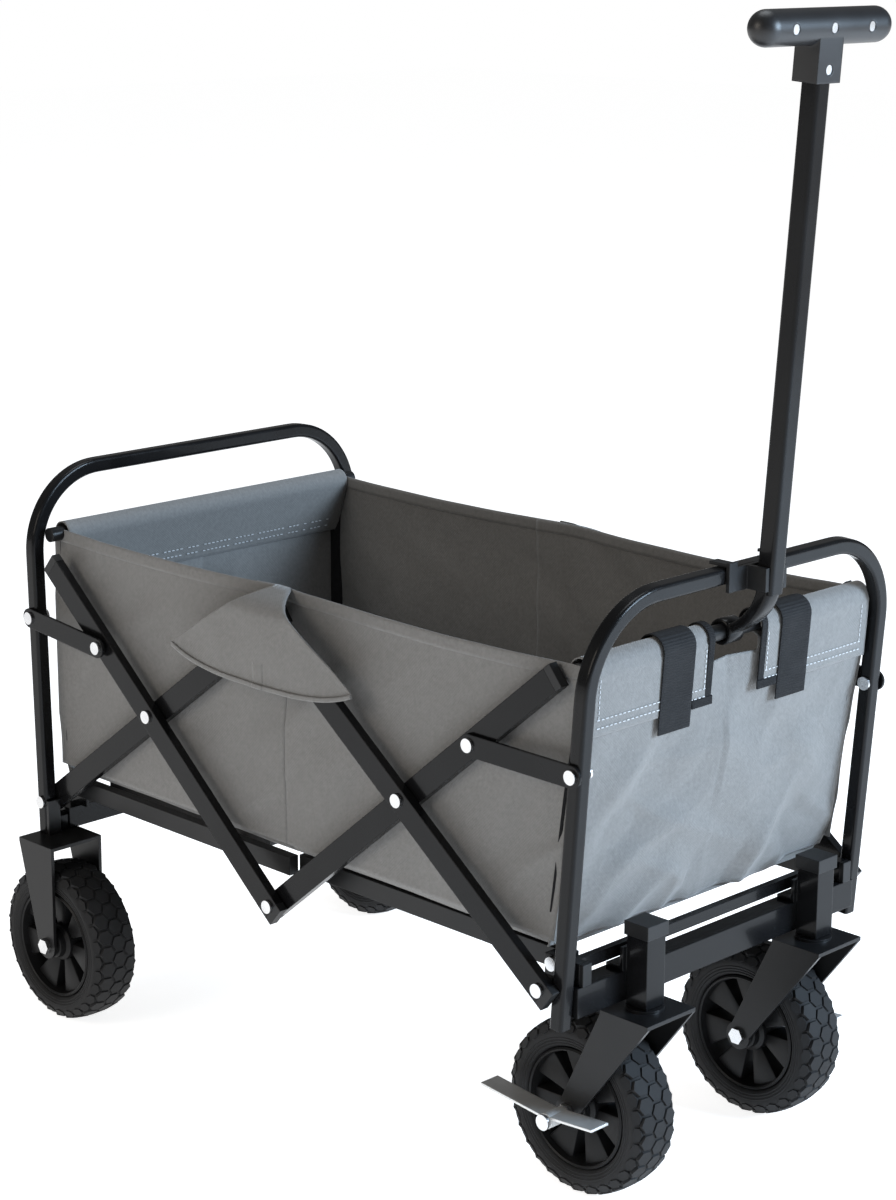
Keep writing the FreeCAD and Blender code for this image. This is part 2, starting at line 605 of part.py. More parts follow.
# tabs behind the front legs that carry the outer bars' lower pivots
tabs = []
for side, sign in SIDES.items():
    tab_y = sign * (size("front_leg_y") + size("leg_tube") / 2 - size("tab_thickness") / 2)
    tab_front = FRONT_LEG_FOOT_X - size("leg_tube") / 2 + 0.5
    tab_back = FRONT_PIVOT[0] - 10.0
    tab = doc.addObject("Part::Box", "front_tab_blank_" + side)
    tab.Length = tab_front - tab_back
    tab.setExpression("Width", bound("tab_thickness"))
    tab.setExpression("Height", bound("tab_height"))
    tab.Placement.Base = Vector(tab_back, tab_y - size("tab_thickness") / 2, FRONT_PIVOT[1] - size("tab_height") / 2)
    leg_clearance = doc.addObject("Part::Box", "front_tab_trim_" + side)
    leg_clearance.Length = 10.0
    leg_clearance.Width = 2 * size("tab_thickness")
    leg_clearance.Height = 60.0
    leg_clearance.Placement = FreeCAD.Placement(
        Vector(front_leg_x(FRONT_PIVOT[1] - 30) - size("leg_tube") / 2 - 0.02, tab_y - size("tab_thickness"),
               FRONT_PIVOT[1] - 30), FreeCAD.Rotation(Y_AXIS, size("front_lean")))
    bore = rod("front_tab_bore_" + side, (FRONT_PIVOT[0], tab_y - 10, FRONT_PIVOT[1]), (0, 1, 0), TIGHT_HOLE, "20")
    tabs.append(cut("front_tab_" + side, tab, [leg_clearance, bore]))
front_hoop = next(item for item in finished if item.Label == "front_hoop")
finished.remove(front_hoop)
front_hoop.Label = "front_hoop_tube"
finish(joined("front_hoop_with_tabs", [front_hoop] + tabs), "front_hoop")
TAB_INSIDE = size("front_leg_y") + size("leg_tube") / 2 - size("tab_thickness") - HEAD_GAP
finish(group("front_pivot_bolt_group", pins("front_pivot_bolt", FRONT_PIVOT, OUTER_FACE, TAB_INSIDE)),
       "front_pivot_bolts")


# ---------------------------------------------------------------- folding floor
def floor_half(label, hinge, direction, rail_y, bracket_side):
    """One half of the bottom frame: two rails, two battens between them, its board and its two pivots."""
    length = MIDDLE_X - hinge[0] if direction > 0 else hinge[0] - MIDDLE_X
    inside = size(rail_y) - size("rail_tube_width") / 2
    solids = []
    for side, sign in SIDES.items():
        rail = doc.addObject("Part::Box", "%s_rail_%s" % (label, side))
        rail.Length = length + size("rail_overhang")
        rail.setExpression("Width", bound("rail_tube_width"))
        rail.setExpression("Height", bound("rail_tube_height"))
        start = hinge[0] - size("rail_overhang") if direction > 0 else MIDDLE_X
        rail.Placement.Base = Vector(start, sign * size(rail_y) - size("rail_tube_width") / 2,
                                     hinge[1] - size("rail_tube_height") / 2)
        solids.append(rail)
    for number, distance in enumerate((size("batten_end_gap"), length - size("batten_middle_gap"))):
        centre = (hinge[0] + direction * distance, 0,
                  hinge[1] - size("rail_tube_height") / 2 + size("batten") / 2)
        solids.append(box("%s_batten_%d" % (label, number), centre,
                          ("batten", "2 * " + rail_y + " - rail_tube_width + 2", "batten")))
    frame = joined(label + "_frame_blank", solids)
    bores = []
    for side, sign in SIDES.items():
        begin = (hinge[0], sign * (size(rail_y) - size("rail_tube_width")), hinge[1])
        bores.append(rod("%s_bore_%s" % (label, side), begin, (0, sign, 0), TIGHT_HOLE, "2 * rail_tube_width"))
    finish(cut(label + "_frame_solid", frame, bores), label + "_rails")
    board_length = length - size("board_end_gap") - size("board_middle_gap")
    board = doc.addObject("Part::Box", label + "_board_panel")
    board.Length = board_length
    board.setExpression("Width", bound("2 * board_half_width"))
    board.setExpression("Height", bound("board_thickness"))
    near_end = hinge[0] + direction * size("board_end_gap")
    board.Placement.Base = Vector(near_end if direction > 0 else near_end - board_length,
                                  -size("board_half_width"),
                                  hinge[1] - size("rail_tube_height") / 2 + size("batten"))
    finish(group(label + "_board_group", [board]), label + "_board")
    outer = size(rail_y) + size("rail_tube_width") / 2 + HEAD_GAP
    if bracket_side == "inside":
        inner = REAR_BRACKET_Y - size("bracket_thickness") / 2 - HEAD_GAP
        solids = pins(label + "_pivot", hinge, outer, inner)
    else:
        outer = STUB_Y + size("rail_tube_width") / 2 + HEAD_GAP
        solids = pins(label + "_pivot", hinge, outer, inside - HEAD_GAP)
    finish(group(label + "_pivot_group", solids), label + "_pivots")


floor_half("rear_floor", RAIL_HINGE_REAR, 1, "rear_rail_y", "inside")
floor_half("front_floor", RAIL_HINGE_FRONT, -1, "front_rail_y", "outside")


# ---------------------------------------------------------------- wheels
def wedge_spoke(name, centre, angle):
    """A spoke that widens from the hub to the ring. The wedge's own Y runs outward and its Z along the axle."""
    spoke = doc.addObject("Part::Wedge", name)
    spoke.setExpression("Ymin", bound("hub_radius - spoke_overlap"))
    spoke.setExpression("Ymax", bound("wheel_radius - tyre_depth - rim_ring + spoke_overlap"))
    spoke.setExpression("Xmin", bound("-1 * spoke_root / 2"))
    spoke.setExpression("Xmax", bound("spoke_root / 2"))
    spoke.setExpression("X2min", bound("-1 * spoke_tip / 2"))
    spoke.setExpression("X2max", bound("spoke_tip / 2"))
    for bottom, top in (("Zmin", "Zmax"), ("Z2min", "Z2max")):
        spoke.setExpression(bottom, bound("-1 * spoke_depth / 2"))
        spoke.setExpression(top, bound("spoke_depth / 2"))
    outward = FreeCAD.Rotation(Vector(1, 1, 1), -120)
    spoke.Placement = FreeCAD.Placement(Vector(*centre), FreeCAD.Rotation(Y_AXIS, angle).multiply(outward))
    return spoke


def wheel(name, centre):
    """A tyre with round shoulders, and a rim with a ring, a hub and wedge-shaped spokes."""
    x, y, z = centre
    half_tyre = size("tyre_width") / 2
    shoulder = half_tyre - size("tyre_round")
    tread = rod(name + "_tread", (x, y - shoulder, z), (0, 1, 0), "wheel_radius", "tyre_width - 2 * tyre_round")
    walls = rod(name + "_walls", (x, y - half_tyre, z), (0, 1, 0), "wheel_radius - tyre_round", "tyre_width")
    shoulders = []
    for number, offset in enumerate((-shoulder, shoulder)):
        ring = doc.addObject("Part::Torus", "%s_shoulder_%d" % (name, number))
        ring.setExpression("Radius1", bound("wheel_radius - tyre_round"))
        ring.setExpression("Radius2", bound("tyre_round"))
        ring.Placement = FreeCAD.Placement(Vector(x, y + offset, z), FreeCAD.Rotation(Vector(1, 0, 0), 90))
        shoulders.append(ring)
    opening = rod(name + "_tyre_hole", (x, y - half_tyre - 1, z), (0, 1, 0), "wheel_radius - tyre_depth",
                  "tyre_width + 2")
    finish(cut(name + "_tyre_solid", joined(name + "_tyre_blank", [tread, walls] + shoulders), [opening]),
           name + "_tyre")
    half_rim = size("rim_width") / 2
    ring_outside = rod(name + "_ring", (x, y - half_rim, z), (0, 1, 0), "wheel_radius - tyre_depth", "rim_width")
    ring_inside = rod(name + "_ring_hole", (x, y - half_rim - 1, z), (0, 1, 0),
                      "wheel_radius - tyre_depth - rim_ring", "rim_width + 2")
    ring = cut(name + "_ring_solid", ring_outside, [ring_inside])
    hub = rod(name + "_hub", (x, y - half_tyre, z), (0, 1, 0), "hub_radius", "tyre_width")
    spokes = []
    for number in range(int(size("spoke_count"))):
        spokes.append(wedge_spoke("%s_spoke_%d" % (name, number), centre, 360.0 / size("spoke_count") * number))
    blank = joined(name + "_rim_blank", [ring, hub] + spokes)
    bore = rod(name + "_bore", (x, y - half_tyre - 1, z), (0, 1, 0), "axle_radius + running_gap", "tyre_width + 2")
    finish(cut(name + "_rim_solid", blank, [bore]), name + "_rim")


AXLE_HEIGHT = size("wheel_radius")
CASTER_X = at_x(size("caster_post_x"))
CASTER_AXLE_X = CASTER_X - size("caster_trail")
REAR_AXLE_X = at_x(size("rear_axle_x"))
for side, sign in SIDES.items():
    wheel("rear_wheel_" + side, (REAR_AXLE_X, sign * size("rear_leg_y"), AXLE_HEIGHT))
    wheel("front_wheel_" + side, (CASTER_AXLE_X, sign * size("caster_y"), AXLE_HEIGHT))

HALF_FORK_GAP = size("tyre_width") / 2 + size("fork_gap")
FORK_ARM_END = 15.0
HALF_AXLE = HALF_FORK_GAP + size("fork_plate") + HEAD_GAP


def fork_arm(name, y, top_back, top_front, axle_x):
    """A tapered plate from a fork's crown down to its axle, with a round end and the axle's hole."""
    crown = size("fork_top") - size("fork_plate")
    plate = doc.addObject("Part::Wedge", name + "_taper")
    plate.Xmin = top_back
    plate.Xmax = top_front
    plate.X2min = axle_x - FORK_ARM_END + 1.0
    plate.X2max = axle_x + FORK_ARM_END - 1.0
    plate.Ymin = -crown
    plate.Ymax = -AXLE_HEIGHT
    plate.Zmin = 0
    plate.Z2min = 0
    plate.setExpression("Zmax", bound("fork_plate"))
    plate.setExpression("Z2max", bound("fork_plate"))
    plate.Placement = FreeCAD.Placement(Vector(0, y - size("fork_plate") / 2, 0),
                                        FreeCAD.Rotation(Vector(1, 0, 0), -90))
    start = (axle_x, y - size("fork_plate") / 2, AXLE_HEIGHT)
    end = rod(name + "_end", start, (0, 1, 0), "%s" % FORK_ARM_END, "fork_plate")
    return [plate, end]


def axle_hole(name, x, y):
    """The drill that opens both arms of a fork for its axle."""
    return rod(name + "_axle_hole", (x, y - HALF_FORK_GAP - 10, AXLE_HEIGHT), (0, 1, 0),
               "axle_radius + running_gap", "tyre_width + 2 * fork_gap + 20")


def axle_bolt(name, x, y, head_sign):
    """An axle through a fork and its wheel, with a head at one end and a nut at the other."""
    shank = doc.addObject("Part::Cylinder", name + "_shank")
    shank.setExpression("Radius", bound("axle_radius"))
    shank.Height = 2 * HALF_AXLE
    shank.Placement = FreeCAD.Placement(Vector(x, y - HALF_AXLE, AXLE_HEIGHT), FreeCAD.Rotation(Vector(1, 0, 0), -90))
    heads = []
    for number, sign in enumerate((-1, 1)):
        head = doc.addObject("Part::Prism", "%s_hex_%d" % (name, number))
        head.Polygon = 6
        head.setExpression("Circumradius", bound("axle_radius + 4"))
        head.Height = 5.0 if sign == head_sign else 4.0
        head.Placement = FreeCAD.Placement(Vector(x, y + sign * HALF_AXLE, AXLE_HEIGHT),
                                           FreeCAD.Rotation(Vector(0, 0, 1), Vector(0, sign, 0)))
        heads.append(head)
    return joined(name, [shank] + heads)


# rear forks: a crown under the leg, a plate on each side of the wheel, and a gusset in front of the leg
REAR_CROWN_BACK = -size("leg_tube") / 2
REAR_CROWN_FRONT = size("rear_crown_front")
rear_axles = []
for side, sign in SIDES.items():
    centre_y = sign * size("rear_leg_y")
    stem = "rear_fork_" + side
    crown = box(stem + "_crown", (at_x((REAR_CROWN_BACK + REAR_CROWN_FRONT) / 2), centre_y,
                size("fork_top") - size("fork_plate") / 2),
                ("leg_tube / 2 + rear_crown_front", "tyre_width + 2 * fork_gap + 2 * fork_plate", "fork_plate"))
    arms = []
    for end, arm_sign in (("outer", sign), ("inner", -sign)):
        arm_y = centre_y + arm_sign * (HALF_FORK_GAP + size("fork_plate") / 2)
        arms += fork_arm(stem + "_" + end, arm_y, at_x(REAR_CROWN_BACK), at_x(REAR_CROWN_FRONT), REAR_AXLE_X)
    gusset = box(stem + "_gusset", (at_x(size("leg_tube") / 2 + 3.1), centre_y, size("fork_top") + size("gusset_height") / 2),
                 ("fork_plate", "leg_tube", "gusset_height"))
    blank = joined(stem + "_blank", [crown] + arms + [gusset])
    finish(cut(stem + "_solid", blank, [axle_hole(stem, REAR_AXLE_X, centre_y)]), stem)
    rear_axles.append(axle_bolt("rear_axle_" + side, REAR_AXLE_X, centre_y, sign))
finish(group("rear_axle_bolt_group", rear_axles), "rear_axle_bolts")

# caster forks turn about a stem that stands in each post
CROWN_FRONT = size("crown_front")
CROWN_BACK = size("crown_back")
POST_BOTTOM = size("fork_top") + size("bearing_height") + size("swivel_gap")
caster_axles = {}
for side, sign in SIDES.items():
    centre_y = sign * size("caster_y")
    stem = "caster_fork_" + side
    crown = box(stem + "_crown", (CASTER_X + (CROWN_FRONT - CROWN_BACK) / 2, centre_y,
                size("fork_top") - size("fork_plate") / 2),
                ("crown_front + crown_back", "tyre_width + 2 * fork_gap + 2 * fork_plate", "fork_plate"))
    arms = []
    for end, arm_sign in (("outer", sign), ("inner", -sign)):
        arm_y = centre_y + arm_sign * (HALF_FORK_GAP + size("fork_plate") / 2)
        arms += fork_arm(stem + "_" + end, arm_y, CASTER_X - CROWN_BACK, CASTER_X + CROWN_FRONT, CASTER_AXLE_X)
    bearing = rod(stem + "_bearing", (CASTER_X, centre_y, size("fork_top")), (0, 0, 1), "bearing_radius",
                  "bearing_height")
    spindle = rod(stem + "_spindle", (CASTER_X, centre_y, size("fork_top")), (0, 0, 1),
                  "stem_radius", "stem_length")
    blank = joined(stem + "_blank", [crown] + arms + [bearing, spindle])
    finish(cut(stem + "_solid", blank, [axle_hole(stem, CASTER_AXLE_X, centre_y)]), stem)
    caster_axles[side] = axle_bolt("front_axle_" + side, CASTER_AXLE_X, centre_y, sign)

posts = []
caps = []
for side, sign in SIDES.items():
    centre_y = sign * size("caster_y")
    post_height = size("post_top") - POST_BOTTOM
    post = doc.addObject("Part::Box", "post_blank_" + side)
    post.setExpression("Length", bound("post_tube"))
    post.setExpression("Width", bound("post_tube"))
    post.Height = post_height
    post.Placement.Base = Vector(CASTER_X - size("post_tube") / 2, centre_y - size("post_tube") / 2, POST_BOTTOM)
    bore = rod("post_bore_" + side, (CASTER_X, centre_y, POST_BOTTOM - 1), (0, 0, 1),
               "stem_radius + running_gap", "stem_length + 2")
    ear_back = FRONT_LEG_FOOT_X - size("crossbar_depth") / 2
    ear = doc.addObject("Part::Box", "post_ear_" + side)
    ear.Length = CASTER_X - size("post_tube") / 2 - ear_back
    ear.setExpression("Width", bound("ear_width"))
    ear.setExpression("Height", bound("ear_thickness"))
    ear.Placement.Base = Vector(ear_back, centre_y - size("ear_width") / 2, FRONT_CROSSBAR_TOP)
    back = doc.addObject("Part::Box", "post_back_" + side)
    back.setExpression("Length", bound("ear_thickness"))
    back.setExpression("Width", bound("ear_width"))
    back.setExpression("Height", bound("ear_rise"))
    back.Placement.Base = Vector(CASTER_X - size("post_tube") / 2 - size("ear_thickness"),
                                 centre_y - size("ear_width") / 2, FRONT_CROSSBAR_TOP)
    body = cut("post_" + side, joined("post_with_ear_" + side, [post, ear, back]), [bore])
    posts.append(body)
    caps.append(box("post_cap_block_" + side, (CASTER_X, centre_y, size("post_top") + size("cap_height") / 2),
                    ("cap_tube", "cap_tube", "cap_height")))
finish(group("caster_post_group", posts), "caster_posts")
finish(group("front_cap_group", caps + stub_caps), "front_caps")

# brake pedals: a bent plate hinged on two lugs at the outside of each caster fork
PEDAL_WIDTH = 24.0
PEDAL_THICKNESS = 2.5
PEDAL_REAR_REACH = 88.0
PEDAL_FRONT_REACH = 60.0
for side, sign in SIDES.items():
    fork_outside = size("caster_y") + HALF_AXLE + 5.0
    pedal_y = sign * (fork_outside + 2.0 + PEDAL_WIDTH / 2)
    pivot = (CASTER_AXLE_X, pedal_y, AXLE_HEIGHT)
    stem = "brake_pedal_" + side
    tube = rod(stem + "_tube", (pivot[0], pedal_y - PEDAL_WIDTH / 2, pivot[2]), (0, 1, 0), "8", "%s" % PEDAL_WIDTH)
    rear_arm = box(stem + "_rear", (pivot[0] - PEDAL_REAR_REACH / 2, pedal_y, pivot[2] + 7),
                   ("%s" % PEDAL_REAR_REACH, "%s" % PEDAL_WIDTH, "%s" % PEDAL_THICKNESS), 5.0)
    front_arm = box(stem + "_front", (pivot[0] + PEDAL_FRONT_REACH / 2, pedal_y, pivot[2] + 7),
                    ("%s" % PEDAL_FRONT_REACH, "%s" % PEDAL_WIDTH, "%s" % PEDAL_THICKNESS), -5.0)
    bore = rod(stem + "_bore", (pivot[0], pedal_y - PEDAL_WIDTH, pivot[2]), (0, 1, 0),
               "axle_radius + running_gap", "%s" % (2 * PEDAL_WIDTH))
    finish(cut(stem + "_solid", joined(stem + "_blank", [tube, rear_arm, front_arm]), [bore]), stem)
    start_y = sign * fork_outside
    spindle = rod(stem + "_spindle", (pivot[0], start_y, pivot[2]), (0, sign, 0), "axle_radius",
                  "%s" % (PEDAL_WIDTH + 4.3))
    end_y = sign * (fork_outside + PEDAL_WIDTH + 4.3)
    knob = rod(stem + "_spindle_head", (pivot[0], end_y, pivot[2]), (0, sign, 0), "axle_radius + 3", "2.5")
    finish(group("caster_bolt_group_" + side,
                 [caster_axles[side], joined(stem + "_spindle_solid", [spindle, knob])]), "caster_bolts_" + side)


# ---------------------------------------------------------------- handle
FOOT_X = at_x(size("pole_foot_x"))
FOOT_Z = size("pole_foot_z")
LEAN = FreeCAD.Rotation(Y_AXIS, size("pole_lean"))


def leaned(item):
    """Turn a piece, made upright over the pole's foot, with the pole's lean."""
    item.Placement = FreeCAD.Placement(Vector(FOOT_X, 0, FOOT_Z), LEAN).multiply(item.Placement)
    return item


def flat_sweep(label, section_width, section_depth, ahead, drop, radius):
    """A flat strap swept down from the pole's foot, round a bend and back to the rod."""
    body = doc.addObject("PartDesign::Body", label + "_body")
    planes = {feature.Role: feature for feature in body.Origin.OriginFeatures}
    path = body.newObject("Sketcher::SketchObject", label + "_path")
    path.AttachmentSupport = [(planes["XZ_Plane"], "")]
    path.MapMode = "FlatFace"
    to_rod = LEAN.inverted().multVec(Vector(ROD_FRONT_X - FOOT_X, 0, size("rod_height") - FOOT_Z))
    centre = Vector(-radius, -drop, 0)
    reach = Vector(to_rod.x, to_rod.z, 0) - centre
    bend = -math.acos(radius / reach.Length) - math.atan2(reach.y, reach.x)
    corner = centre + Vector(math.cos(bend), -math.sin(bend), 0) * radius
    eye = Vector(to_rod.x, to_rod.z, 0)
    short_of_eye = eye + (corner - eye).normalize() * (size("rod_radius") + 2.0)
    path.addGeometry(Part.LineSegment(Vector(0, ahead, 0), Vector(0, -drop, 0)))
    arc = Part.ArcOfCircle(Part.Circle(centre, Vector(0, 0, 1), radius), -bend, 0)
    path.addGeometry(arc)
    path.addGeometry(Part.LineSegment(corner, short_of_eye))
    path.addConstraint(Sketcher.Constraint("Coincident", 0, 2, 1, 2))
    path.addConstraint(Sketcher.Constraint("Coincident", 1, 1, 2, 1))
    section = body.newObject("Sketcher::SketchObject", label + "_section")
    section.AttachmentSupport = [(planes["XY_Plane"], "")]
    section.MapMode = "FlatFace"
    section.AttachmentOffset = FreeCAD.Placement(Vector(0, 0, ahead), FreeCAD.Rotation())
    half_depth = size(section_depth) / 2
    half_width = size(section_width) / 2
    corners = [Vector(half_depth, half_width, 0), Vector(-half_depth, half_width, 0),
               Vector(-half_depth, -half_width, 0), Vector(half_depth, -half_width, 0)]
    for number, corner_point in enumerate(corners):
        section.addGeometry(Part.LineSegment(corner_point, corners[(number + 1) % 4]))
    for number in range(4):
        section.addConstraint(Sketcher.Constraint("Coincident", number, 2, (number + 1) % 4, 1))
    pipe = body.newObject("PartDesign::AdditivePipe", label + "_strap")
    pipe.Profile = section
    pipe.Spine = path
    body.Tip = pipe
    return body, eye


ARM_BEND = 24.0
ARM_DROP = 2.0
strap, eye = flat_sweep("handle_strap", "arm_width", "arm_thickness", -0.1, ARM_DROP, ARM_BEND)
boss = doc.addObject("Part::Cylinder", "handle_boss")
boss.setExpression("Radius", bound("rod_radius + 5"))
boss.setExpression("Height", bound("arm_width"))
boss.Placement = FreeCAD.Placement(Vector(eye.x, size("arm_width") / 2, eye.y), FreeCAD.Rotation(Vector(1, 0, 0), 90))
boss_bore = doc.addObject("Part::Cylinder", "handle_boss_bore")
boss_bore.setExpression("Radius", bound("rod_radius + running_gap"))
boss_bore.Height = 60.0
boss_bore.Placement = FreeCAD.Placement(Vector(eye.x, 30, eye.y), FreeCAD.Rotation(Vector(1, 0, 0), 90))
finish(leaned(cut("handle_arm_solid", joined("handle_arm_blank", [strap, boss]), [boss_bore])), "handle_arm")

pole_body = doc.addObject("PartDesign::Body", "handle_pole_body")
pole_planes = {feature.Role: feature for feature in pole_body.Origin.OriginFeatures}
pole_section = rounded_square(pole_body, "handle_pole_section", pole_planes["XY_Plane"], "pole_tube",
                              "pole_corner", Vector(0, 0, 0))
pole_pad = pole_body.newObject("PartDesign::Pad", "handle_pole_pad")
pole_pad.Profile = pole_section
pole_pad.setExpression("Length", bound("pole_length"))
pole_body.Tip = pole_pad
finish(leaned(pole_body), "handle_pole")

SOCKET_BOTTOM = size("pole_length") - 26.0
GRIP_CENTRE = size("pole_length") + 23.0
socket_block = box("grip_socket", (0, 0, SOCKET_BOTTOM + size("socket_length") / 2),
                   ("socket_tube", "socket_tube + 6", "socket_length"))
socket_hollow = box("grip_socket_hollow", (0, 0, size("pole_length") - 60),
                    ("pole_tube + 0.1", "pole_tube + 0.1", "120"))
grip_tube = rod("grip_tube", (0, -size("grip_half_length") + size("grip_radius"), GRIP_CENTRE), (0, 1, 0),
                "grip_radius", "2 * grip_half_length - 2 * grip_radius")
grip_ends = []
for side, sign in SIDES.items():
    end = doc.addObject("Part::Sphere", "grip_end_" + side)
    end.setExpression("Radius", bound("grip_radius"))
    end.Placement.Base = Vector(0, sign * (size("grip_half_length") - size("grip_radius")), GRIP_CENTRE)
    grip_ends.append(end)
SCREW_SPACING = 55.0
SCREW_PLACES = [(size("grip_radius"), (number - 1) * SCREW_SPACING, GRIP_CENTRE) for number in range(3)]
SCREW_PLACES.append((size("socket_tube") / 2, 0, SOCKET_BOTTOM + 12))
SCREW_SINK = 2.0
recesses = []
screws = []
for number, (x, y, z) in enumerate(SCREW_PLACES):
    recesses.append(rod("grip_recess_%d" % number, (x - SCREW_SINK, y, z), (1, 0, 0), "4.6", "6"))
    screws.append(leaned(rod("grip_screw_%d" % number, (x - SCREW_SINK, y, z), (1, 0, 0), "4.5", "1.4")))
grip = cut("handle_grip_solid", joined("handle_grip_blank", [socket_block, grip_tube] + grip_ends),
           [socket_hollow] + recesses)
finish(leaned(grip), "handle_grip")
finish(group("handle_screw_group", screws), "handle_screws")

# clip that holds the upright pole: a channel on the front of the hoop's top bar with two jaws
TOP_BAR_X = front_leg_x(size("hoop_top"))
CLIP_BACK = TOP_BAR_X + size("leg_tube") / 2 + 0.5
CLIP_FRONT = FOOT_X + size("pole_tube") / 2 - 2.0
CLIP_LOW = size("hoop_top") - 16.0
CLIP_HIGH = size("hoop_top") + 7.0
JAW_GAP = 0.6
clip_plate = box("clip_plate", (CLIP_BACK + 2.0, 0, (CLIP_LOW + CLIP_HIGH) / 2), ("4", "84", "23"))
clip_parts = [clip_plate]
for side, sign in SIDES.items():
    jaw_y = sign * (size("pole_tube") / 2 + JAW_GAP + 2.5)
    jaw = doc.addObject("Part::Box", "clip_jaw_" + side)
    jaw.Length = CLIP_FRONT - CLIP_BACK
    jaw.Width = 5.0
    jaw.Height = CLIP_HIGH - CLIP_LOW
    jaw.Placement.Base = Vector(CLIP_BACK, jaw_y - 2.5, CLIP_LOW)
    clip_parts.append(jaw)
    ear = box("clip_ear_" + side, (TOP_BAR_X, sign * 36.0, size("hoop_top") + size("leg_tube") / 2 + 1.9),
              ("leg_tube + 8.8", "12", "3"))
    clip_parts.append(ear)
    clip_parts.append(box("clip_ear_riser_" + side, (CLIP_BACK + 2.0, sign * 36.0, CLIP_HIGH + 2.5),
                          ("4", "12", "5.8")))
finish(joined("handle_clip_solid", clip_parts), "handle_clip")


# ---------------------------------------------------------------- fabric
ROD_SPACE = size("rod_radius") + size("sleeve_gap")
SLEEVE_RADIUS = ROD_SPACE + size("fabric")
SHEET_OFFSET = ROD_SPACE + size("fabric") / 2


def sleeve(name, x, y_start, length):
    """A round sleeve of cloth about a rod."""
    skin = rod(name + "_skin", (x, y_start, size("rod_height")), (0, 1, 0),
               "rod_radius + sleeve_gap + fabric", "%s" % length)
    core = rod(name + "_core", (x, y_start - 1, size("rod_height")), (0, 1, 0),
               "rod_radius + sleeve_gap", "%s" % (length + 2))
    return cut(name, skin, [core])


def upright_sheet(name, x, y_start, y_end, low, high, lean):
    """A flat sheet of cloth below a rod, leaning with the hoop that carries it."""
    sheet_box = doc.addObject("Part::Box", name)
    sheet_box.setExpression("Length", bound("fabric"))
    sheet_box.Width = y_end - y_start
    sheet_box.Height = high - low
    turn = FreeCAD.Placement(Vector(), FreeCAD.Rotation(Y_AXIS, lean), Vector(x, 0, size("rod_height")))
    base = FreeCAD.Placement(Vector(x - size("fabric") / 2, y_start, low), FreeCAD.Rotation())
    sheet_box.Placement = turn.multiply(base)
    return sheet_box


HALF_END = size("end_half_width")
rear_sheet_x = ROD_REAR_X - SHEET_OFFSET
rear_panel_parts = [
    sleeve("rear_sleeve", ROD_REAR_X, -HALF_END, 2 * HALF_END),
    upright_sheet("rear_sheet", rear_sheet_x, -HALF_END, HALF_END, size("panel_bottom"), size("rod_height"), 0.0),
]
finish(joined("rear_panel_solid", rear_panel_parts), "rear_panel")

front_sheet_x = ROD_FRONT_X + SHEET_OFFSET
slot_half = size("handle_slot_half")
slot_bottom = size("rod_height") + SLEEVE_RADIUS - size("handle_slot_drop")
front_panel_parts = [upright_sheet("front_sheet", front_sheet_x, -HALF_END, HALF_END, size("panel_bottom"),
                                   slot_bottom, size("front_lean"))]
for side, sign in SIDES.items():
    y_start = slot_half if sign > 0 else -HALF_END
    y_end = HALF_END if sign > 0 else -slot_half
    front_panel_parts.append(sleeve("front_sleeve_" + side, ROD_FRONT_X, y_start, y_end - y_start))
    front_panel_parts.append(upright_sheet("front_sheet_" + side, front_sheet_x, y_start, y_end,
                                           slot_bottom - 1, size("rod_height"), size("front_lean")))
finish(joined("front_panel_solid", front_panel_parts), "front_panel")

straps = []
strap_x = front_sheet_x + size("fabric") / 2 + size("strap_thickness") / 2 + 0.1
for side, sign in SIDES.items():
    webbing = doc.addObject("Part::Box", "strap_" + side)
    webbing.setExpression("Length", bound("strap_thickness"))
    webbing.setExpression("Width", bound("strap_width"))
    webbing.setExpression("Height", bound("strap_length"))
    turn = FreeCAD.Placement(Vector(), FreeCAD.Rotation(Y_AXIS, size("front_lean")),
                             Vector(front_sheet_x, 0, size("rod_height")))
    corner = Vector(strap_x - size("strap_thickness") / 2, sign * size("strap_y") - size("strap_width") / 2,
                    size("rod_height") + 6.0 - size("strap_length"))
    webbing.Placement = turn.multiply(FreeCAD.Placement(corner, FreeCAD.Rotation()))
    straps.append(webbing)
finish(group("front_strap_group", straps), "front_straps")


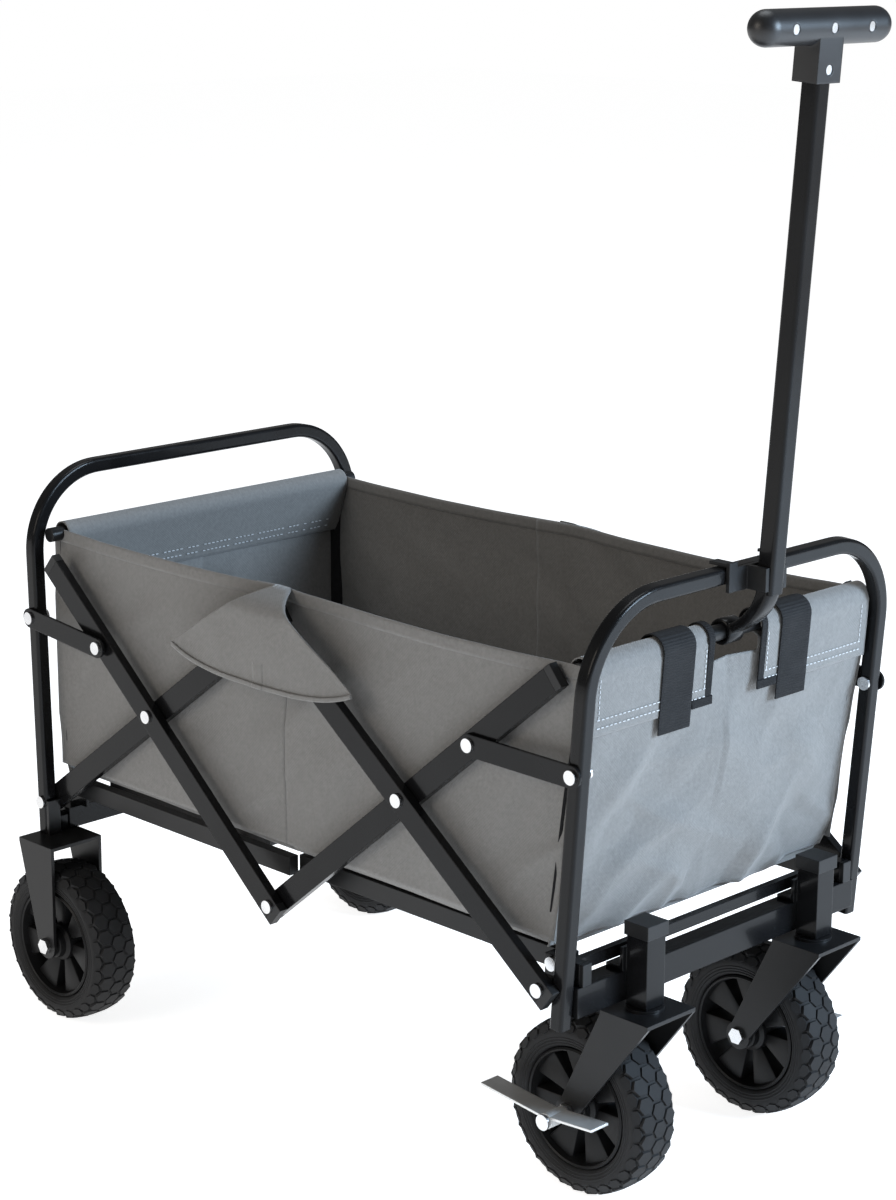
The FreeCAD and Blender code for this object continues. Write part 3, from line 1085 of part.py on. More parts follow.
def side_fabric(label, start, end, toward_middle):
    """Near and far half of the basket's side, each with its half of the outer flap over the middle joint."""
    solids = []
    for side, sign in SIDES.items():
        wall = doc.addObject("Part::Box", "%s_wall_%s" % (label, side))
        wall.Length = end - start
        wall.setExpression("Width", bound("fabric"))
        wall.setExpression("Height", bound("side_fabric_top - side_fabric_bottom"))
        wall.Placement.Base = Vector(start, sign * size("side_fabric_y") - size("fabric") / 2,
                                     size("side_fabric_bottom"))
        middle = MIDDLE_X - toward_middle * size("middle_slit") / 2
        bridge = doc.addObject("Part::Box", "%s_bridge_%s" % (label, side))
        bridge.setExpression("Length", bound("flap_half_top"))
        bridge.Width = size("flap_y") - size("side_fabric_y") + size("fabric")
        bridge.setExpression("Height", bound("fabric"))
        bridge_start = middle if toward_middle < 0 else middle - size("flap_half_top")
        low_y = min(sign * (size("side_fabric_y") - size("fabric") / 2), sign * (size("flap_y") + size("fabric") / 2))
        bridge.Placement.Base = Vector(bridge_start, low_y, size("side_fabric_top") - size("fabric"))
        flap = doc.addObject("Part::Wedge", "%s_flap_%s" % (label, side))
        flap.Xmin = 0
        flap.setExpression("Xmax", bound("flap_half_length"))
        flap.X2min = 0
        flap.setExpression("X2max", bound("flap_half_top"))
        flap.Ymin = 0
        flap.setExpression("Ymax", bound("side_fabric_top - flap_bottom"))
        flap.Zmin = 0
        flap.Z2min = 0
        flap.setExpression("Zmax", bound("fabric"))
        flap.setExpression("Z2max", bound("fabric"))
        flap_turn = FreeCAD.Rotation(Vector(1, 0, 0), 90)
        if toward_middle > 0:
            flap_turn = FreeCAD.Rotation(Vector(0, 0, 1), 180).multiply(flap_turn)
        thickness_shift = size("fabric") / 2 if toward_middle < 0 else -size("fabric") / 2
        flap.Placement = FreeCAD.Placement(
            Vector(middle, sign * size("flap_y") + thickness_shift, size("flap_bottom")), flap_turn)
        solids.append(joined("%s_%s" % (label, side), [wall, bridge, flap]))
    finish(group(label + "_group", solids), label)


side_fabric("side_fabric_rear", at_x(size("side_fabric_gap")), MIDDLE_X - size("middle_slit") / 2, 1)
side_fabric("side_fabric_front", MIDDLE_X + size("middle_slit") / 2,
            at_x(size("pivot_span")) + 12.0, -1)


# ---------------------------------------------------------------- check and write
doc.recompute()
for item in doc.Objects:
    if "Invalid" in item.State or "Error" in item.State:
        raise RuntimeError("%s could not be computed" % item.Name)
for item in finished:
    if item.Shape.isNull() or not item.Shape.isValid():
        raise RuntimeError("%s has no valid shape" % item.Label)

os.makedirs("parts", exist_ok=True)
for item in finished:
    item.Shape.exportStep("parts/%s.step" % item.Label)
print("%d sub-parts written" % len(finished))
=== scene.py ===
import json
import math

import bmesh
import bpy
from mathutils import Euler, Matrix, Quaternion, Vector, noise


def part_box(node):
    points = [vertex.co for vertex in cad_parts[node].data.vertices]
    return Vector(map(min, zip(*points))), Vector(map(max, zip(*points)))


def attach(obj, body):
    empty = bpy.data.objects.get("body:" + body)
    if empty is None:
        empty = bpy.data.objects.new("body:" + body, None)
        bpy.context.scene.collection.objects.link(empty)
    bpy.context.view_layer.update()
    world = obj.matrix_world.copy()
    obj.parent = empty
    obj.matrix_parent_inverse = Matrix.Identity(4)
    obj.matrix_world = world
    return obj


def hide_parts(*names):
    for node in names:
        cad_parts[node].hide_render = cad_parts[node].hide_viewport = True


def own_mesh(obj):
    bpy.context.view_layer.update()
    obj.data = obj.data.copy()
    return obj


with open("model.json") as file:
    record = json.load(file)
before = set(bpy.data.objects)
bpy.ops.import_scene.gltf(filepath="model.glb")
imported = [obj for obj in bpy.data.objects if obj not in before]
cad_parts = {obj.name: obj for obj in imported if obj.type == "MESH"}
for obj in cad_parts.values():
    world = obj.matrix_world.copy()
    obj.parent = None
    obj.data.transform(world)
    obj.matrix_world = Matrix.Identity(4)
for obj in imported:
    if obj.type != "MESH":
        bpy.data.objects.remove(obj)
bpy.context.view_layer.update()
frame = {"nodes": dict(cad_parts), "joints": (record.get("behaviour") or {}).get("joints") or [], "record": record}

MM = 0.001
SIDES = {"near": -1, "far": 1}


# ---------------------------------------------------------------- places read from the frame
def middle(node):
    low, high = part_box(node)
    return (low + high) / 2


rear_rod = middle("rear_rod")
front_rod = middle("front_rod")
rod_radius = (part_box("rear_rod")[1].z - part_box("rear_rod")[0].z) / 2
side_low, side_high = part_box("side_fabric_rear")
middle_x = side_high.x + 1 * MM
wall_y = 211.5 * MM
wall_bottom = side_low.z
wall_top = side_high.z
front_lean = math.radians(4.2)


# ---------------------------------------------------------------- shader groups
def new_group(name, inputs, outputs):
    """An empty node group with named inputs (name, kind, default) and outputs (name, kind)."""
    group = bpy.data.node_groups.new(name, "ShaderNodeTree")
    for label, kind, default in inputs:
        socket = group.interface.new_socket(name=label, in_out="INPUT", socket_type=kind)
        socket.default_value = default
    for label, kind in outputs:
        group.interface.new_socket(name=label, in_out="OUTPUT", socket_type=kind)
    start = group.nodes.new("NodeGroupInput")
    end = group.nodes.new("NodeGroupOutput")
    return group, start, end


def add(tree, kind, **settings):
    """A node of a kind, with its settings and the plain values of its inputs."""
    node = tree.nodes.new(kind)
    for key, value in settings.items():
        if key.startswith("in_"):
            node.inputs[key[3:].replace("_", " ")].default_value = value
        else:
            setattr(node, key, value)
    return node


def math_node(tree, operation, first, second=None):
    """A Math node between sockets or numbers."""
    node = tree.nodes.new("ShaderNodeMath")
    node.operation = operation
    for number, value in enumerate((first, second)):
        if value is None:
            continue
        if isinstance(value, (int, float)):
            node.inputs[number].default_value = value
        else:
            tree.links.new(value, node.inputs[number])
    return node.outputs[0]


def make_grain():
    """Fine mottling: a height, and a shade mask for colour and roughness."""
    group, start, end = new_group(
        "grain",
        [("Scale", "NodeSocketFloat", 400.0), ("Patches", "NodeSocketFloat", 14.0)],
        [("Height", "NodeSocketFloat"), ("Shade", "NodeSocketFloat")])
    coordinates = add(group, "ShaderNodeTexCoord")
    fine = add(group, "ShaderNodeTexNoise", in_Detail=3.0, in_Roughness=0.6)
    broad = add(group, "ShaderNodeTexNoise", in_Detail=4.0, in_Roughness=0.55)
    group.links.new(coordinates.outputs["Object"], fine.inputs["Vector"])
    group.links.new(coordinates.outputs["Object"], broad.inputs["Vector"])
    group.links.new(start.outputs["Scale"], fine.inputs["Scale"])
    group.links.new(start.outputs["Patches"], broad.inputs["Scale"])
    group.links.new(fine.outputs["Fac"], end.inputs["Height"])
    group.links.new(broad.outputs["Fac"], end.inputs["Shade"])
    return group


def make_weave():
    """Oxford cloth: crossed yarns as a height, a slub mask, and soft creases."""
    group, start, end = new_group(
        "oxford_weave",
        [("Yarn", "NodeSocketFloat", 1900.0)],
        [("Height", "NodeSocketFloat"), ("Slub", "NodeSocketFloat"), ("Crease", "NodeSocketFloat")])
    coordinates = add(group, "ShaderNodeTexCoord")
    parts = add(group, "ShaderNodeSeparateXYZ")
    group.links.new(coordinates.outputs["Object"], parts.inputs["Vector"])
    across = math_node(group, "ADD", parts.outputs["X"], parts.outputs["Y"])
    weft = math_node(group, "SINE", math_node(group, "MULTIPLY", across, start.outputs["Yarn"]))
    warp = math_node(group, "SINE", math_node(group, "MULTIPLY", parts.outputs["Z"], start.outputs["Yarn"]))
    crossing = math_node(group, "MULTIPLY", weft, warp)
    group.links.new(crossing, end.inputs["Height"])
    slub = add(group, "ShaderNodeTexNoise", in_Scale=260.0, in_Detail=4.0, in_Roughness=0.7)
    group.links.new(coordinates.outputs["Object"], slub.inputs["Vector"])
    group.links.new(slub.outputs["Fac"], end.inputs["Slub"])
    crease = add(group, "ShaderNodeTexNoise", in_Scale=9.0, in_Detail=5.0, in_Roughness=0.5,
                 in_Distortion=0.8)
    group.links.new(coordinates.outputs["Object"], crease.inputs["Vector"])
    group.links.new(crease.outputs["Fac"], end.inputs["Crease"])
    return group


def make_ribs():
    """Woven ribs along the height, for webbing and binding."""
    group, start, end = new_group(
        "ribs", [("Pitch", "NodeSocketFloat", 2600.0)], [("Height", "NodeSocketFloat")])
    coordinates = add(group, "ShaderNodeTexCoord")
    parts = add(group, "ShaderNodeSeparateXYZ")
    group.links.new(coordinates.outputs["Object"], parts.inputs["Vector"])
    rib = math_node(group, "SINE", math_node(group, "MULTIPLY", parts.outputs["Z"], start.outputs["Pitch"]))
    fine = math_node(group, "SINE", math_node(group, "MULTIPLY", parts.outputs["Y"], 5200.0))
    total = math_node(group, "ADD", rib, math_node(group, "MULTIPLY", fine, 0.4))
    group.links.new(total, end.inputs["Height"])
    return group


GRAIN = make_grain()
WEAVE = make_weave()
RIBS = make_ribs()


def place_group(tree, group, **values):
    node = tree.nodes.new("ShaderNodeGroup")
    node.node_tree = group
    for key, value in values.items():
        node.inputs[key].default_value = value
    return node


def new_material(name, **values):
    """A material with one Principled shader whose plain values are set on its sockets."""
    material = bpy.data.materials.new(name)
    material.use_nodes = True
    shader = material.node_tree.nodes["Principled BSDF"]
    for key, value in values.items():
        shader.inputs[key.replace("_", " ")].default_value = value
    return material, material.node_tree, shader


def two_tones(tree, mask, dark, light, low=0.3, high=0.7):
    """A colour that runs from dark to light as a mask rises."""
    ramp = add(tree, "ShaderNodeValToRGB")
    ramp.color_ramp.elements[0].position = low
    ramp.color_ramp.elements[1].position = high
    ramp.color_ramp.elements[0].color = (*dark, 1)
    ramp.color_ramp.elements[1].color = (*light, 1)
    tree.links.new(mask, ramp.inputs["Fac"])
    return ramp.outputs["Color"]


def spread(tree, mask, low, high):
    """A number that runs from low to high as a mask goes from 0.3 to 0.7."""
    node = add(tree, "ShaderNodeMapRange")
    node.inputs["From Min"].default_value = 0.3
    node.inputs["From Max"].default_value = 0.7
    node.inputs["To Min"].default_value = low
    node.inputs["To Max"].default_value = high
    tree.links.new(mask, node.inputs["Value"])
    return node.outputs["Result"]


def bump(tree, shader, height, strength, distance, before=None):
    node = add(tree, "ShaderNodeBump", in_Strength=strength, in_Distance=distance)
    tree.links.new(height, node.inputs["Height"])
    if before is not None:
        tree.links.new(before.outputs["Normal"], node.inputs["Normal"])
    tree.links.new(node.outputs["Normal"], shader.inputs["Normal"])
    return node


def grained(name, dark, light, rough_low, rough_high, bump_strength, scale=500.0, patches=14.0, edge=0.0,
            **values):
    """Paint, plastic, metal or rubber with a fine grain and uneven gloss."""
    material, tree, shader = new_material(name, **values)
    grain = place_group(tree, GRAIN, Scale=scale, Patches=patches)
    tree.links.new(two_tones(tree, grain.outputs["Shade"], dark, light), shader.inputs["Base Color"])
    tree.links.new(spread(tree, grain.outputs["Shade"], rough_low, rough_high), shader.inputs["Roughness"])
    rounded = None
    if edge:
        rounded = add(tree, "ShaderNodeBevel", samples=4, in_Radius=edge)
    bump(tree, shader, grain.outputs["Height"], bump_strength, 0.0002, rounded)
    return material


def cloth(name, dark, light, yarn=1900.0):
    """Woven polyester with slubs and soft creases."""
    material, tree, shader = new_material(name, Sheen_Weight=0.25, Sheen_Roughness=0.5,
                                          Specular_IOR_Level=0.3)
    weave = place_group(tree, WEAVE, Yarn=yarn)
    colour = two_tones(tree, weave.outputs["Slub"], dark, light, 0.25, 0.75)
    tree.links.new(colour, shader.inputs["Base Color"])
    tree.links.new(spread(tree, weave.outputs["Slub"], 0.72, 0.88), shader.inputs["Roughness"])
    crease = bump(tree, shader, weave.outputs["Crease"], 0.35, 0.006)
    bump(tree, shader, weave.outputs["Height"], 0.22, 0.0004, crease)
    return material


BLACK_TUBE = grained("black_powder_coat", (0.0045, 0.0045, 0.005), (0.008, 0.008, 0.0085), 0.16, 0.26, 0.05,
                     900.0, edge=0.0018, Coat_Weight=0.12, Coat_Roughness=0.06, Specular_IOR_Level=0.12)
DARK_STEEL = grained("satin_black_steel", (0.008, 0.008, 0.0085), (0.014, 0.014, 0.0145), 0.28, 0.42, 0.08,
                     edge=0.001, Specular_IOR_Level=0.25)
BLACK_PLASTIC = grained("black_plastic", (0.008, 0.008, 0.0085), (0.013, 0.013, 0.0135), 0.38, 0.5, 0.18,
                        edge=0.0015, Specular_IOR_Level=0.3)
GRIP_PLASTIC = grained("grip_plastic", (0.008, 0.008, 0.009), (0.013, 0.013, 0.014), 0.32, 0.42, 0.12,
                       edge=0.003)
RIM_PLASTIC = grained("rim_plastic", (0.006, 0.006, 0.0065), (0.010, 0.010, 0.0105), 0.4, 0.55, 0.12,
                      Specular_IOR_Level=0.22)
ZINC = grained("bright_zinc", (0.62, 0.62, 0.63), (0.80, 0.80, 0.80), 0.2, 0.36, 0.1, 700.0, 40.0,
               Metallic=1.0)
PEDAL_ZINC = grained("brushed_pedal_zinc", (0.72, 0.72, 0.71), (0.88, 0.88, 0.87), 0.4, 0.55, 0.2, 500.0,
                     30.0, edge=0.0012, Metallic=0.65)
TYRE_RUBBER = grained("tyre_rubber", (0.010, 0.010, 0.0105), (0.021, 0.021, 0.022), 0.6, 0.78, 0.3, 650.0,
                      24.0, Specular_IOR_Level=0.25)
BOARD = grained("floor_board", (0.03, 0.03, 0.03), (0.05, 0.05, 0.05), 0.6, 0.8, 0.2)
OXFORD = cloth("grey_oxford", (0.145, 0.142, 0.137), (0.215, 0.210, 0.203))
THREAD = grained("white_thread", (0.46, 0.47, 0.48), (0.6, 0.61, 0.62), 0.6, 0.75, 0.2)


def ribbed(name, dark, light, pitch):
    """Black webbing or binding tape with woven ribs."""
    material, tree, shader = new_material(name, Specular_IOR_Level=0.2)
    grain = place_group(tree, GRAIN, Scale=900.0, Patches=40.0)
    ribs = place_group(tree, RIBS, Pitch=pitch)
    tree.links.new(two_tones(tree, grain.outputs["Height"], dark, light), shader.inputs["Base Color"])
    tree.links.new(spread(tree, grain.outputs["Shade"], 0.7, 0.85), shader.inputs["Roughness"])
    bump(tree, shader, ribs.outputs["Height"], 0.5, 0.0005)
    return material


WEBBING = ribbed("black_webbing", (0.010, 0.010, 0.011), (0.020, 0.020, 0.021), 2300.0)
BINDING = ribbed("black_binding", (0.009, 0.009, 0.010), (0.016, 0.016, 0.017), 4200.0)


# ---------------------------------------------------------------- materials of the CAD pieces
FINISHES = {
    "black_tube": BLACK_TUBE, "black_plastic": BLACK_PLASTIC, "rim_plastic": RIM_PLASTIC,
    "grip_plastic": GRIP_PLASTIC, "zinc": ZINC, "dark_steel": DARK_STEEL, "oxford_cloth": OXFORD,
    "webbing": WEBBING, "tyre_rubber": TYRE_RUBBER, "board": BOARD,
}
slot_of = {part["node"]: part["material_slot"] for part in frame["record"]["subparts"]}
for node, shown in frame["nodes"].items():
    finish = PEDAL_ZINC if node.startswith("brake_pedal") else FINISHES[slot_of[node]]
    if not shown.material_slots:
        shown.data.materials.append(finish)
    for material_slot in shown.material_slots:
        material_slot.material = finish


# ---------------------------------------------------------------- making pieces
def new_piece(name, mesh_source, material, body=None, smooth=True):
    """An object from a bmesh, with its material; it rides on a body if one is given."""
    mesh = bpy.data.meshes.new(name)
    mesh_source.to_mesh(mesh)
    mesh_source.free()
    for polygon in mesh.polygons:
        polygon.use_smooth = smooth
    piece = bpy.data.objects.new(name, mesh)
    bpy.context.scene.collection.objects.link(piece)
    mesh.materials.append(material)
    if body is not None:
        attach(piece, body)
    return piece


def thicken(piece, thickness, offset=0.0):
    modifier = piece.modifiers.new("thickness", "SOLIDIFY")
    modifier.thickness = thickness
    modifier.offset = offset
    return piece


def grid_sheet(columns, rows, place, left_out=None):
    """A grid whose points are placed by a function of how far across and how far along they are.

    Faces whose middle the test picks, in the same two measures, are left out.
    """
    source = bmesh.new()
    bmesh.ops.create_grid(source, x_segments=columns, y_segments=rows, size=0.5)
    if left_out is not None:
        middles = [(face, face.calc_center_median()) for face in source.faces]
        faces = [face for face, centre in middles if left_out(centre.x + 0.5, centre.y + 0.5)]
        bmesh.ops.delete(source, geom=faces, context="FACES")
    for vertex in source.verts:
        vertex.co = place(vertex.co.x + 0.5, vertex.co.y + 0.5)
    bmesh.ops.recalc_face_normals(source, faces=source.faces)
    return source


def ripple(point, scale, seed):
    return noise.noise(Vector((point[0] * scale, point[1] * scale, seed)))


# ---------------------------------------------------------------- end panels
SLEEVE_OUT = rod_radius + 4.4 * MM
PANEL_HALF = 209 * MM
FLAP_LENGTH = 62 * MM
SLOT_HALF = 37 * MM
SLOT_DEPTH = 27 * MM
CURL = 30 * MM
CURL_REACH = 11 * MM
ARC = math.pi * SLEEVE_OUT
BACK = 15 * MM
PANEL_TAPER = 15 * MM


def panel_profile(run, same_side):
    """Distance out from the rod and height above it, along the cloth: flap, over the rod, and down.

    On the front panel the sheet comes back to the flap's side below the rod. On the rear one it goes
    straight down on the other side, and its flap slants over to it.
    """
    slant = 0.0 if same_side else 2 * SLEEVE_OUT - 5 * MM
    if run < FLAP_LENGTH:
        share = 1 - run / FLAP_LENGTH
        return SLEEVE_OUT + 1.2 * MM - slant * share, run - FLAP_LENGTH
    run -= FLAP_LENGTH
    if run < ARC:
        angle = run / SLEEVE_OUT
        return SLEEVE_OUT * math.cos(angle), SLEEVE_OUT * math.sin(angle)
    run -= ARC
    if run < BACK and same_side:
        share = run / BACK
        ease = share * share * (3 - 2 * share)
        return -SLEEVE_OUT + (2 * SLEEVE_OUT - 2.2 * MM) * ease, -13 * MM * share
    run -= BACK
    if same_side:
        return SLEEVE_OUT - 2.2 * MM, -13 * MM - run
    return -SLEEVE_OUT + 1.5 * MM * min(1.0, (run + BACK) / BACK), -BACK - run


def flap_wave(y, height, out):
    """How far the hanging flap stands off, more towards its lower edge."""
    if out < 0:
        return 0.0
    return (1.2 + 1.6 * noise.noise(Vector((y * 16, height * 10, 3.3)))) * MM * -height / FLAP_LENGTH


def pull_folds(y, height, seed):
    """Folds that run down and inward from the top corners, and a soft dent in the middle."""
    across = abs(y) / PANEL_HALF
    depth = min(1.0, -height / (250 * MM))
    slant = noise.noise(Vector((y * 13 + height * 9 * math.copysign(1, y), height * 4, seed)))
    sharp = 1 - abs(noise.noise(Vector((y * 9 - height * 8, height * 6 + y * 4, seed + 5)))) * 2.8
    ridge = 1 - abs(noise.noise(Vector((y * 7 + height * 11, height * 5 - y * 3, seed + 9)))) * 3.4
    return slant * 11 + (max(0.0, sharp) * 10 + max(0.0, ridge) * 8) * depth - 8.0 * across * depth


def end_panel(name, body, node, rod, front, lean, bottom):
    """The cloth of one end: a flap, the sleeve over the rod and the panel below it."""
    length = rod.z - 13 * MM - bottom
    total = FLAP_LENGTH + ARC + BACK + length

    def place(u, v):
        y = (u - 0.5) * 2 * PANEL_HALF
        run = v * total
        offset, height = panel_profile(run, front)
        if run < FLAP_LENGTH:
            offset += flap_wave(y, height, 1 if front else -1)
        else:
            hang = max(0.0, min(1.0, (-height - 20 * MM) / (90 * MM)))
            edge = 1 - abs(2 * u - 1) ** 8
            outward = 1 if front else -1
            offset += outward * max(-1.5, pull_folds(y, height, 2.7 if front else 0.7)) * hang * edge * MM
            curl = max(0.0, (run - total + CURL) / CURL)
            offset -= outward * CURL_REACH * curl ** 1.7
            height -= 9 * MM * curl ** 2
            if front:
                slot_hollow = max(0.0, 1 - abs(y) / (48 * MM)) * max(0.0, 1 + height / (120 * MM))
                taper = PANEL_TAPER * hang * min(1.0, -height / length)
                offset -= taper + 12 * MM * slot_hollow * min(1.0, hang * 8 + 0.4)
        point = Vector((offset, y, height))
        point.rotate(Euler((0, lean, 0)))
        return Vector((rod.x, 0, rod.z)) + point

    def in_slot(u, v):
        above_slot_end = v * total < FLAP_LENGTH + ARC + SLOT_DEPTH
        return front and abs(2 * u - 1) * PANEL_HALF < SLOT_HALF and above_slot_end

    source = grid_sheet(120, 108, place, in_slot)
    piece = new_piece(name, source, OXFORD, body)
    thicken(piece, 1.2 * MM)
    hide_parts(node)
    area = 2 * PANEL_HALF * total
    if front:
        area -= 2 * SLOT_HALF * (FLAP_LENGTH + ARC + SLOT_DEPTH)
    return piece


end_panel("rear_end_cloth", "rear_frame", "rear_panel", rear_rod, False, 0.0, 284 * MM)
end_panel("front_end_cloth", "front_frame", "front_panel", front_rod, True, front_lean, 284 * MM)


def stitch_row(source, start, end, outward, pitch=4.6 * MM, length=3.0 * MM):
    """Short raised stitches along a line."""
    start, end = Vector(start), Vector(end)
    along = (end - start).normalized()
    count = max(1, int((end - start).length / pitch))
    turn = along.to_track_quat("X", "Z").to_matrix().to_4x4()
    for number in range(count):
        centre = start + along * (number + 0.5) * pitch + Vector(outward) * 0.35 * MM
        size = Matrix.Diagonal((length, 0.9 * MM, 0.9 * MM, 1))
        bmesh.ops.create_cube(source, size=1.0, matrix=Matrix.Translation(centre) @ turn @ size)


def panel_point(rod, lean, offset, y, height):
    point = Vector((offset, y, height))
    point.rotate(Euler((0, lean, 0)))
    return Vector((rod.x, 0, rod.z)) + point


def flap_stitches(name, body, rod, front, lean, gaps):
    """Two rows of stitching along the flap, and, on the front flap only, one along each of its sides."""
    source = bmesh.new()

    def on_flap(y, height):
        offset, _ = panel_profile(FLAP_LENGTH + height, front)
        lifted = offset + flap_wave(y, height, 1 if front else -1) + (0.7 if front else 1.3) * MM
        return panel_point(rod, lean, lifted, y, height)

    step = 12 * MM
    for low, high in gaps:
        for height in (-46 * MM, -54 * MM):
            count = int((high - low) / step)
            for number in range(count):
                begin = on_flap(low + number * step, height)
                end = on_flap(low + (number + 1) * step, height)
                stitch_row(source, begin, end, (1, 0, 0), pitch=6 * MM, length=3.4 * MM)
        if front:
            for y in (low + 3 * MM, high - 3 * MM):
                for number in range(4):
                    begin = on_flap(y, -6 * MM - number * 10 * MM)
                    end = on_flap(y, -16 * MM - number * 10 * MM)
                    stitch_row(source, begin, end, (1, 0, 0), pitch=5 * MM, length=2.8 * MM)
    return new_piece(name, source, THREAD, body, smooth=False)


flap_stitches("front_flap_stitches", "front_frame", front_rod, True, front_lean,
              ((-200 * MM, -44 * MM), (44 * MM, 200 * MM)))
flap_stitches("rear_flap_stitches", "rear_frame", rear_rod, False, 0.0, ((-200 * MM, 200 * MM),))


def tape(name, points, width_direction, width, thickness, material, body=None,
         across=4):
    """A flat tape that follows points, with soft rounded edges."""
    width_vector = Vector(width_direction).normalized() * width
    count = len(points) - 1

    def place(u, v):
        run = v * count
        number = min(int(run), count - 1)
        share = run - number
        spine = Vector(points[number]).lerp(Vector(points[number + 1]), share)
        return spine + width_vector * (u - 0.5)

    source = grid_sheet(across, max(count * 2, 2), place)
    piece = new_piece(name, source, material, body)
    thicken(piece, thickness)
    bevel = piece.modifiers.new("soft_edge", "BEVEL")
    bevel.width = thickness * 0.4
    bevel.segments = 2
    bevel.limit_method = "ANGLE"
    return piece


# ---------------------------------------------------------------- front straps, over the sleeve
STRAP_HALF = 23 * MM
strap_middles = (-88 * MM, 88 * MM)


def over_the_rod(y, surface, drop):
    """Points of a tape's middle line: up the outside of the front flap and over the sleeve."""
    steps = 10
    route = [panel_point(front_rod, front_lean, surface, y, -drop + drop * step / steps)
             for step in range(steps)]
    for step in range(13):
        angle = math.pi * step / 12
        route.append(panel_point(front_rod, front_lean, surface * math.cos(angle), y,
                                 surface * math.sin(angle)))
    return route


def route_length(route):
    return sum((second - first).length for first, second in zip(route, route[1:]))


for side, y in zip(("near", "far"), strap_middles):
    route = over_the_rod(y, SLEEVE_OUT + 3.6 * MM, 80 * MM)
    strap = tape("front_strap_" + side, route, (0, 1, 0), 2 * STRAP_HALF, 1.5 * MM, WEBBING, "front_frame",
                 across=8)
    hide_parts("front_straps")
    route_length(route)
for side, sign in SIDES.items():
    route = over_the_rod(sign * (SLOT_HALF + 3 * MM), SLEEVE_OUT + 2.4 * MM, FLAP_LENGTH)
    tape("slot_binding_" + side, route, (0, 1, 0), 9 * MM, 1.8 * MM, BINDING, "front_frame")
    low = panel_point(front_rod, front_lean, SLEEVE_OUT + 3.4 * MM, 0, -FLAP_LENGTH + 3 * MM)
    edge = [Vector((low.x, sign * distance * MM, low.z)) for distance in (34, 44, 54, 64)]
    tape("slot_corner_" + side, edge, (0, 0, 1), 9 * MM, 1.8 * MM, BINDING, "front_frame")


# ---------------------------------------------------------------- basket sides
LAP = 44 * MM
FLAP_Y = 247 * MM
rear_end_x = rear_rod.x - 10 * MM
front_end_x = front_rod.x + 10 * MM


def wall_wave(x, z):
    """How far the side cloth stands in or out: broad sag with slanted tension folds."""
    height = (z - wall_bottom) / (wall_top - wall_bottom)
    sway = ripple((x, z), 7.5, 0.3) * 5.0 + ripple((x + z * 0.7, z * 0.3), 19, 2.2) * 3.0
    ridge = max(0.0, 1 - abs(noise.noise(Vector((x * 8 + z * 7, z * 4 - x * 2, 6.1)))) * 3.4) * 4.0
    hold = 0.2 + 0.8 * (1 - abs(2 * height - 1) ** 3)
    return max(-2.0, min(2.4, (sway + ridge) * hold)) * MM


def top_sag(x):
    """The side's top edge hangs lower between the end rods and the middle joint."""
    reach = abs(x - middle_x) / (front_end_x - middle_x)
    return 5 * MM * math.sin(math.pi * min(1, reach))


def end_line(half, z):
    """Where the side cloth meets the end panel at a height."""
    if half == "rear":
        return rear_end_x
    hang = max(0.0, min(1.0, (front_rod.z - z - 20 * MM) / (90 * MM)))
    share = max(0.0, (front_rod.z - z) / (front_rod.z - wall_bottom))
    return front_end_x - math.tan(front_lean) * (front_rod.z - z) - PANEL_TAPER * hang * share


def side_point(half, sign, u, z):
    """A point of a side wall: u runs from the middle lap to the end panel."""
    if half == "rear":
        start = middle_x
    else:
        start = middle_x - LAP
    x = start + (end_line(half, z) - start) * u
    if half == "front":
        under = 2.5 * MM * max(0.0, min(1.0, (middle_x + 1 * MM - x) / (3 * MM)))
        inward = max(under, 1.2 * MM * max(0.0, min(1.0, (middle_x + 16 * MM - x) / (15 * MM))))
    else:
        inward = 1.2 * MM * max(0.0, min(1.0, (x - middle_x + 14 * MM) / (12 * MM)))
    return Vector((x, sign * (wall_y + wall_wave(x * sign, z) - inward), z))


def side_wall(half, body, node):
    """Near and far cloth walls of one half of the basket, each with a narrow turned hem along the top."""
    pieces = []
    for side, sign in SIDES.items():
        def place(u, v, sign=sign):
            rough = side_point(half, sign, u, wall_top)
            z = wall_bottom - 6 * MM + (wall_top - top_sag(rough.x) - wall_bottom + 6 * MM) * v
            return side_point(half, sign, u, z)

        def hem(u, v, sign=sign):
            rough = side_point(half, sign, u, wall_top)
            top = side_point(half, sign, u, wall_top - top_sag(rough.x))
            turn = math.pi * (v - 0.5)
            drop = 12 * MM * max(0.0, abs(2 * v - 1) - 0.2) / 0.8
            return top + Vector((0, 1.5 * MM * math.sin(turn), 1.2 * MM * math.cos(turn) - drop))

        piece = new_piece("side_cloth_%s_%s" % (half, side), grid_sheet(96, 64, place), OXFORD, body)
        thicken(piece, 1.2 * MM)
        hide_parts(node)
        band = new_piece("side_hem_%s_%s" % (half, side), grid_sheet(80, 10, hem), OXFORD, body)
        thicken(band, 0.6 * MM)
        pieces += [piece, band]
    return pieces


def corner_binding(half, side, sign, body):
    """A black tape down an inside corner, from the rod to the floor cloth."""
    away = 5 * MM if half == "rear" else -5 * MM
    heights = [wall_top - 4 * MM - (wall_top - wall_bottom - 26 * MM) * step / 12 for step in range(13)]
    route = [Vector((end_line(half, z) + away, sign * (wall_y - 4.5 * MM), z)) for z in heights]
    across_corner = (0.7, 0.7 * sign * math.copysign(1, away), 0)
    tape("corner_binding_%s_%s" % (half, side), route, across_corner, 14 * MM, 1.4 * MM, BINDING, body)


for half, body in (("rear", "rear_frame"), ("front", "front_frame")):
    for side, sign in SIDES.items():
        corner_binding(half, side, sign, body)
rear_side_pieces = side_wall("rear", "rear_frame", "side_fabric_rear")
front_side_pieces = side_wall("front", "front_frame", "side_fabric_front")


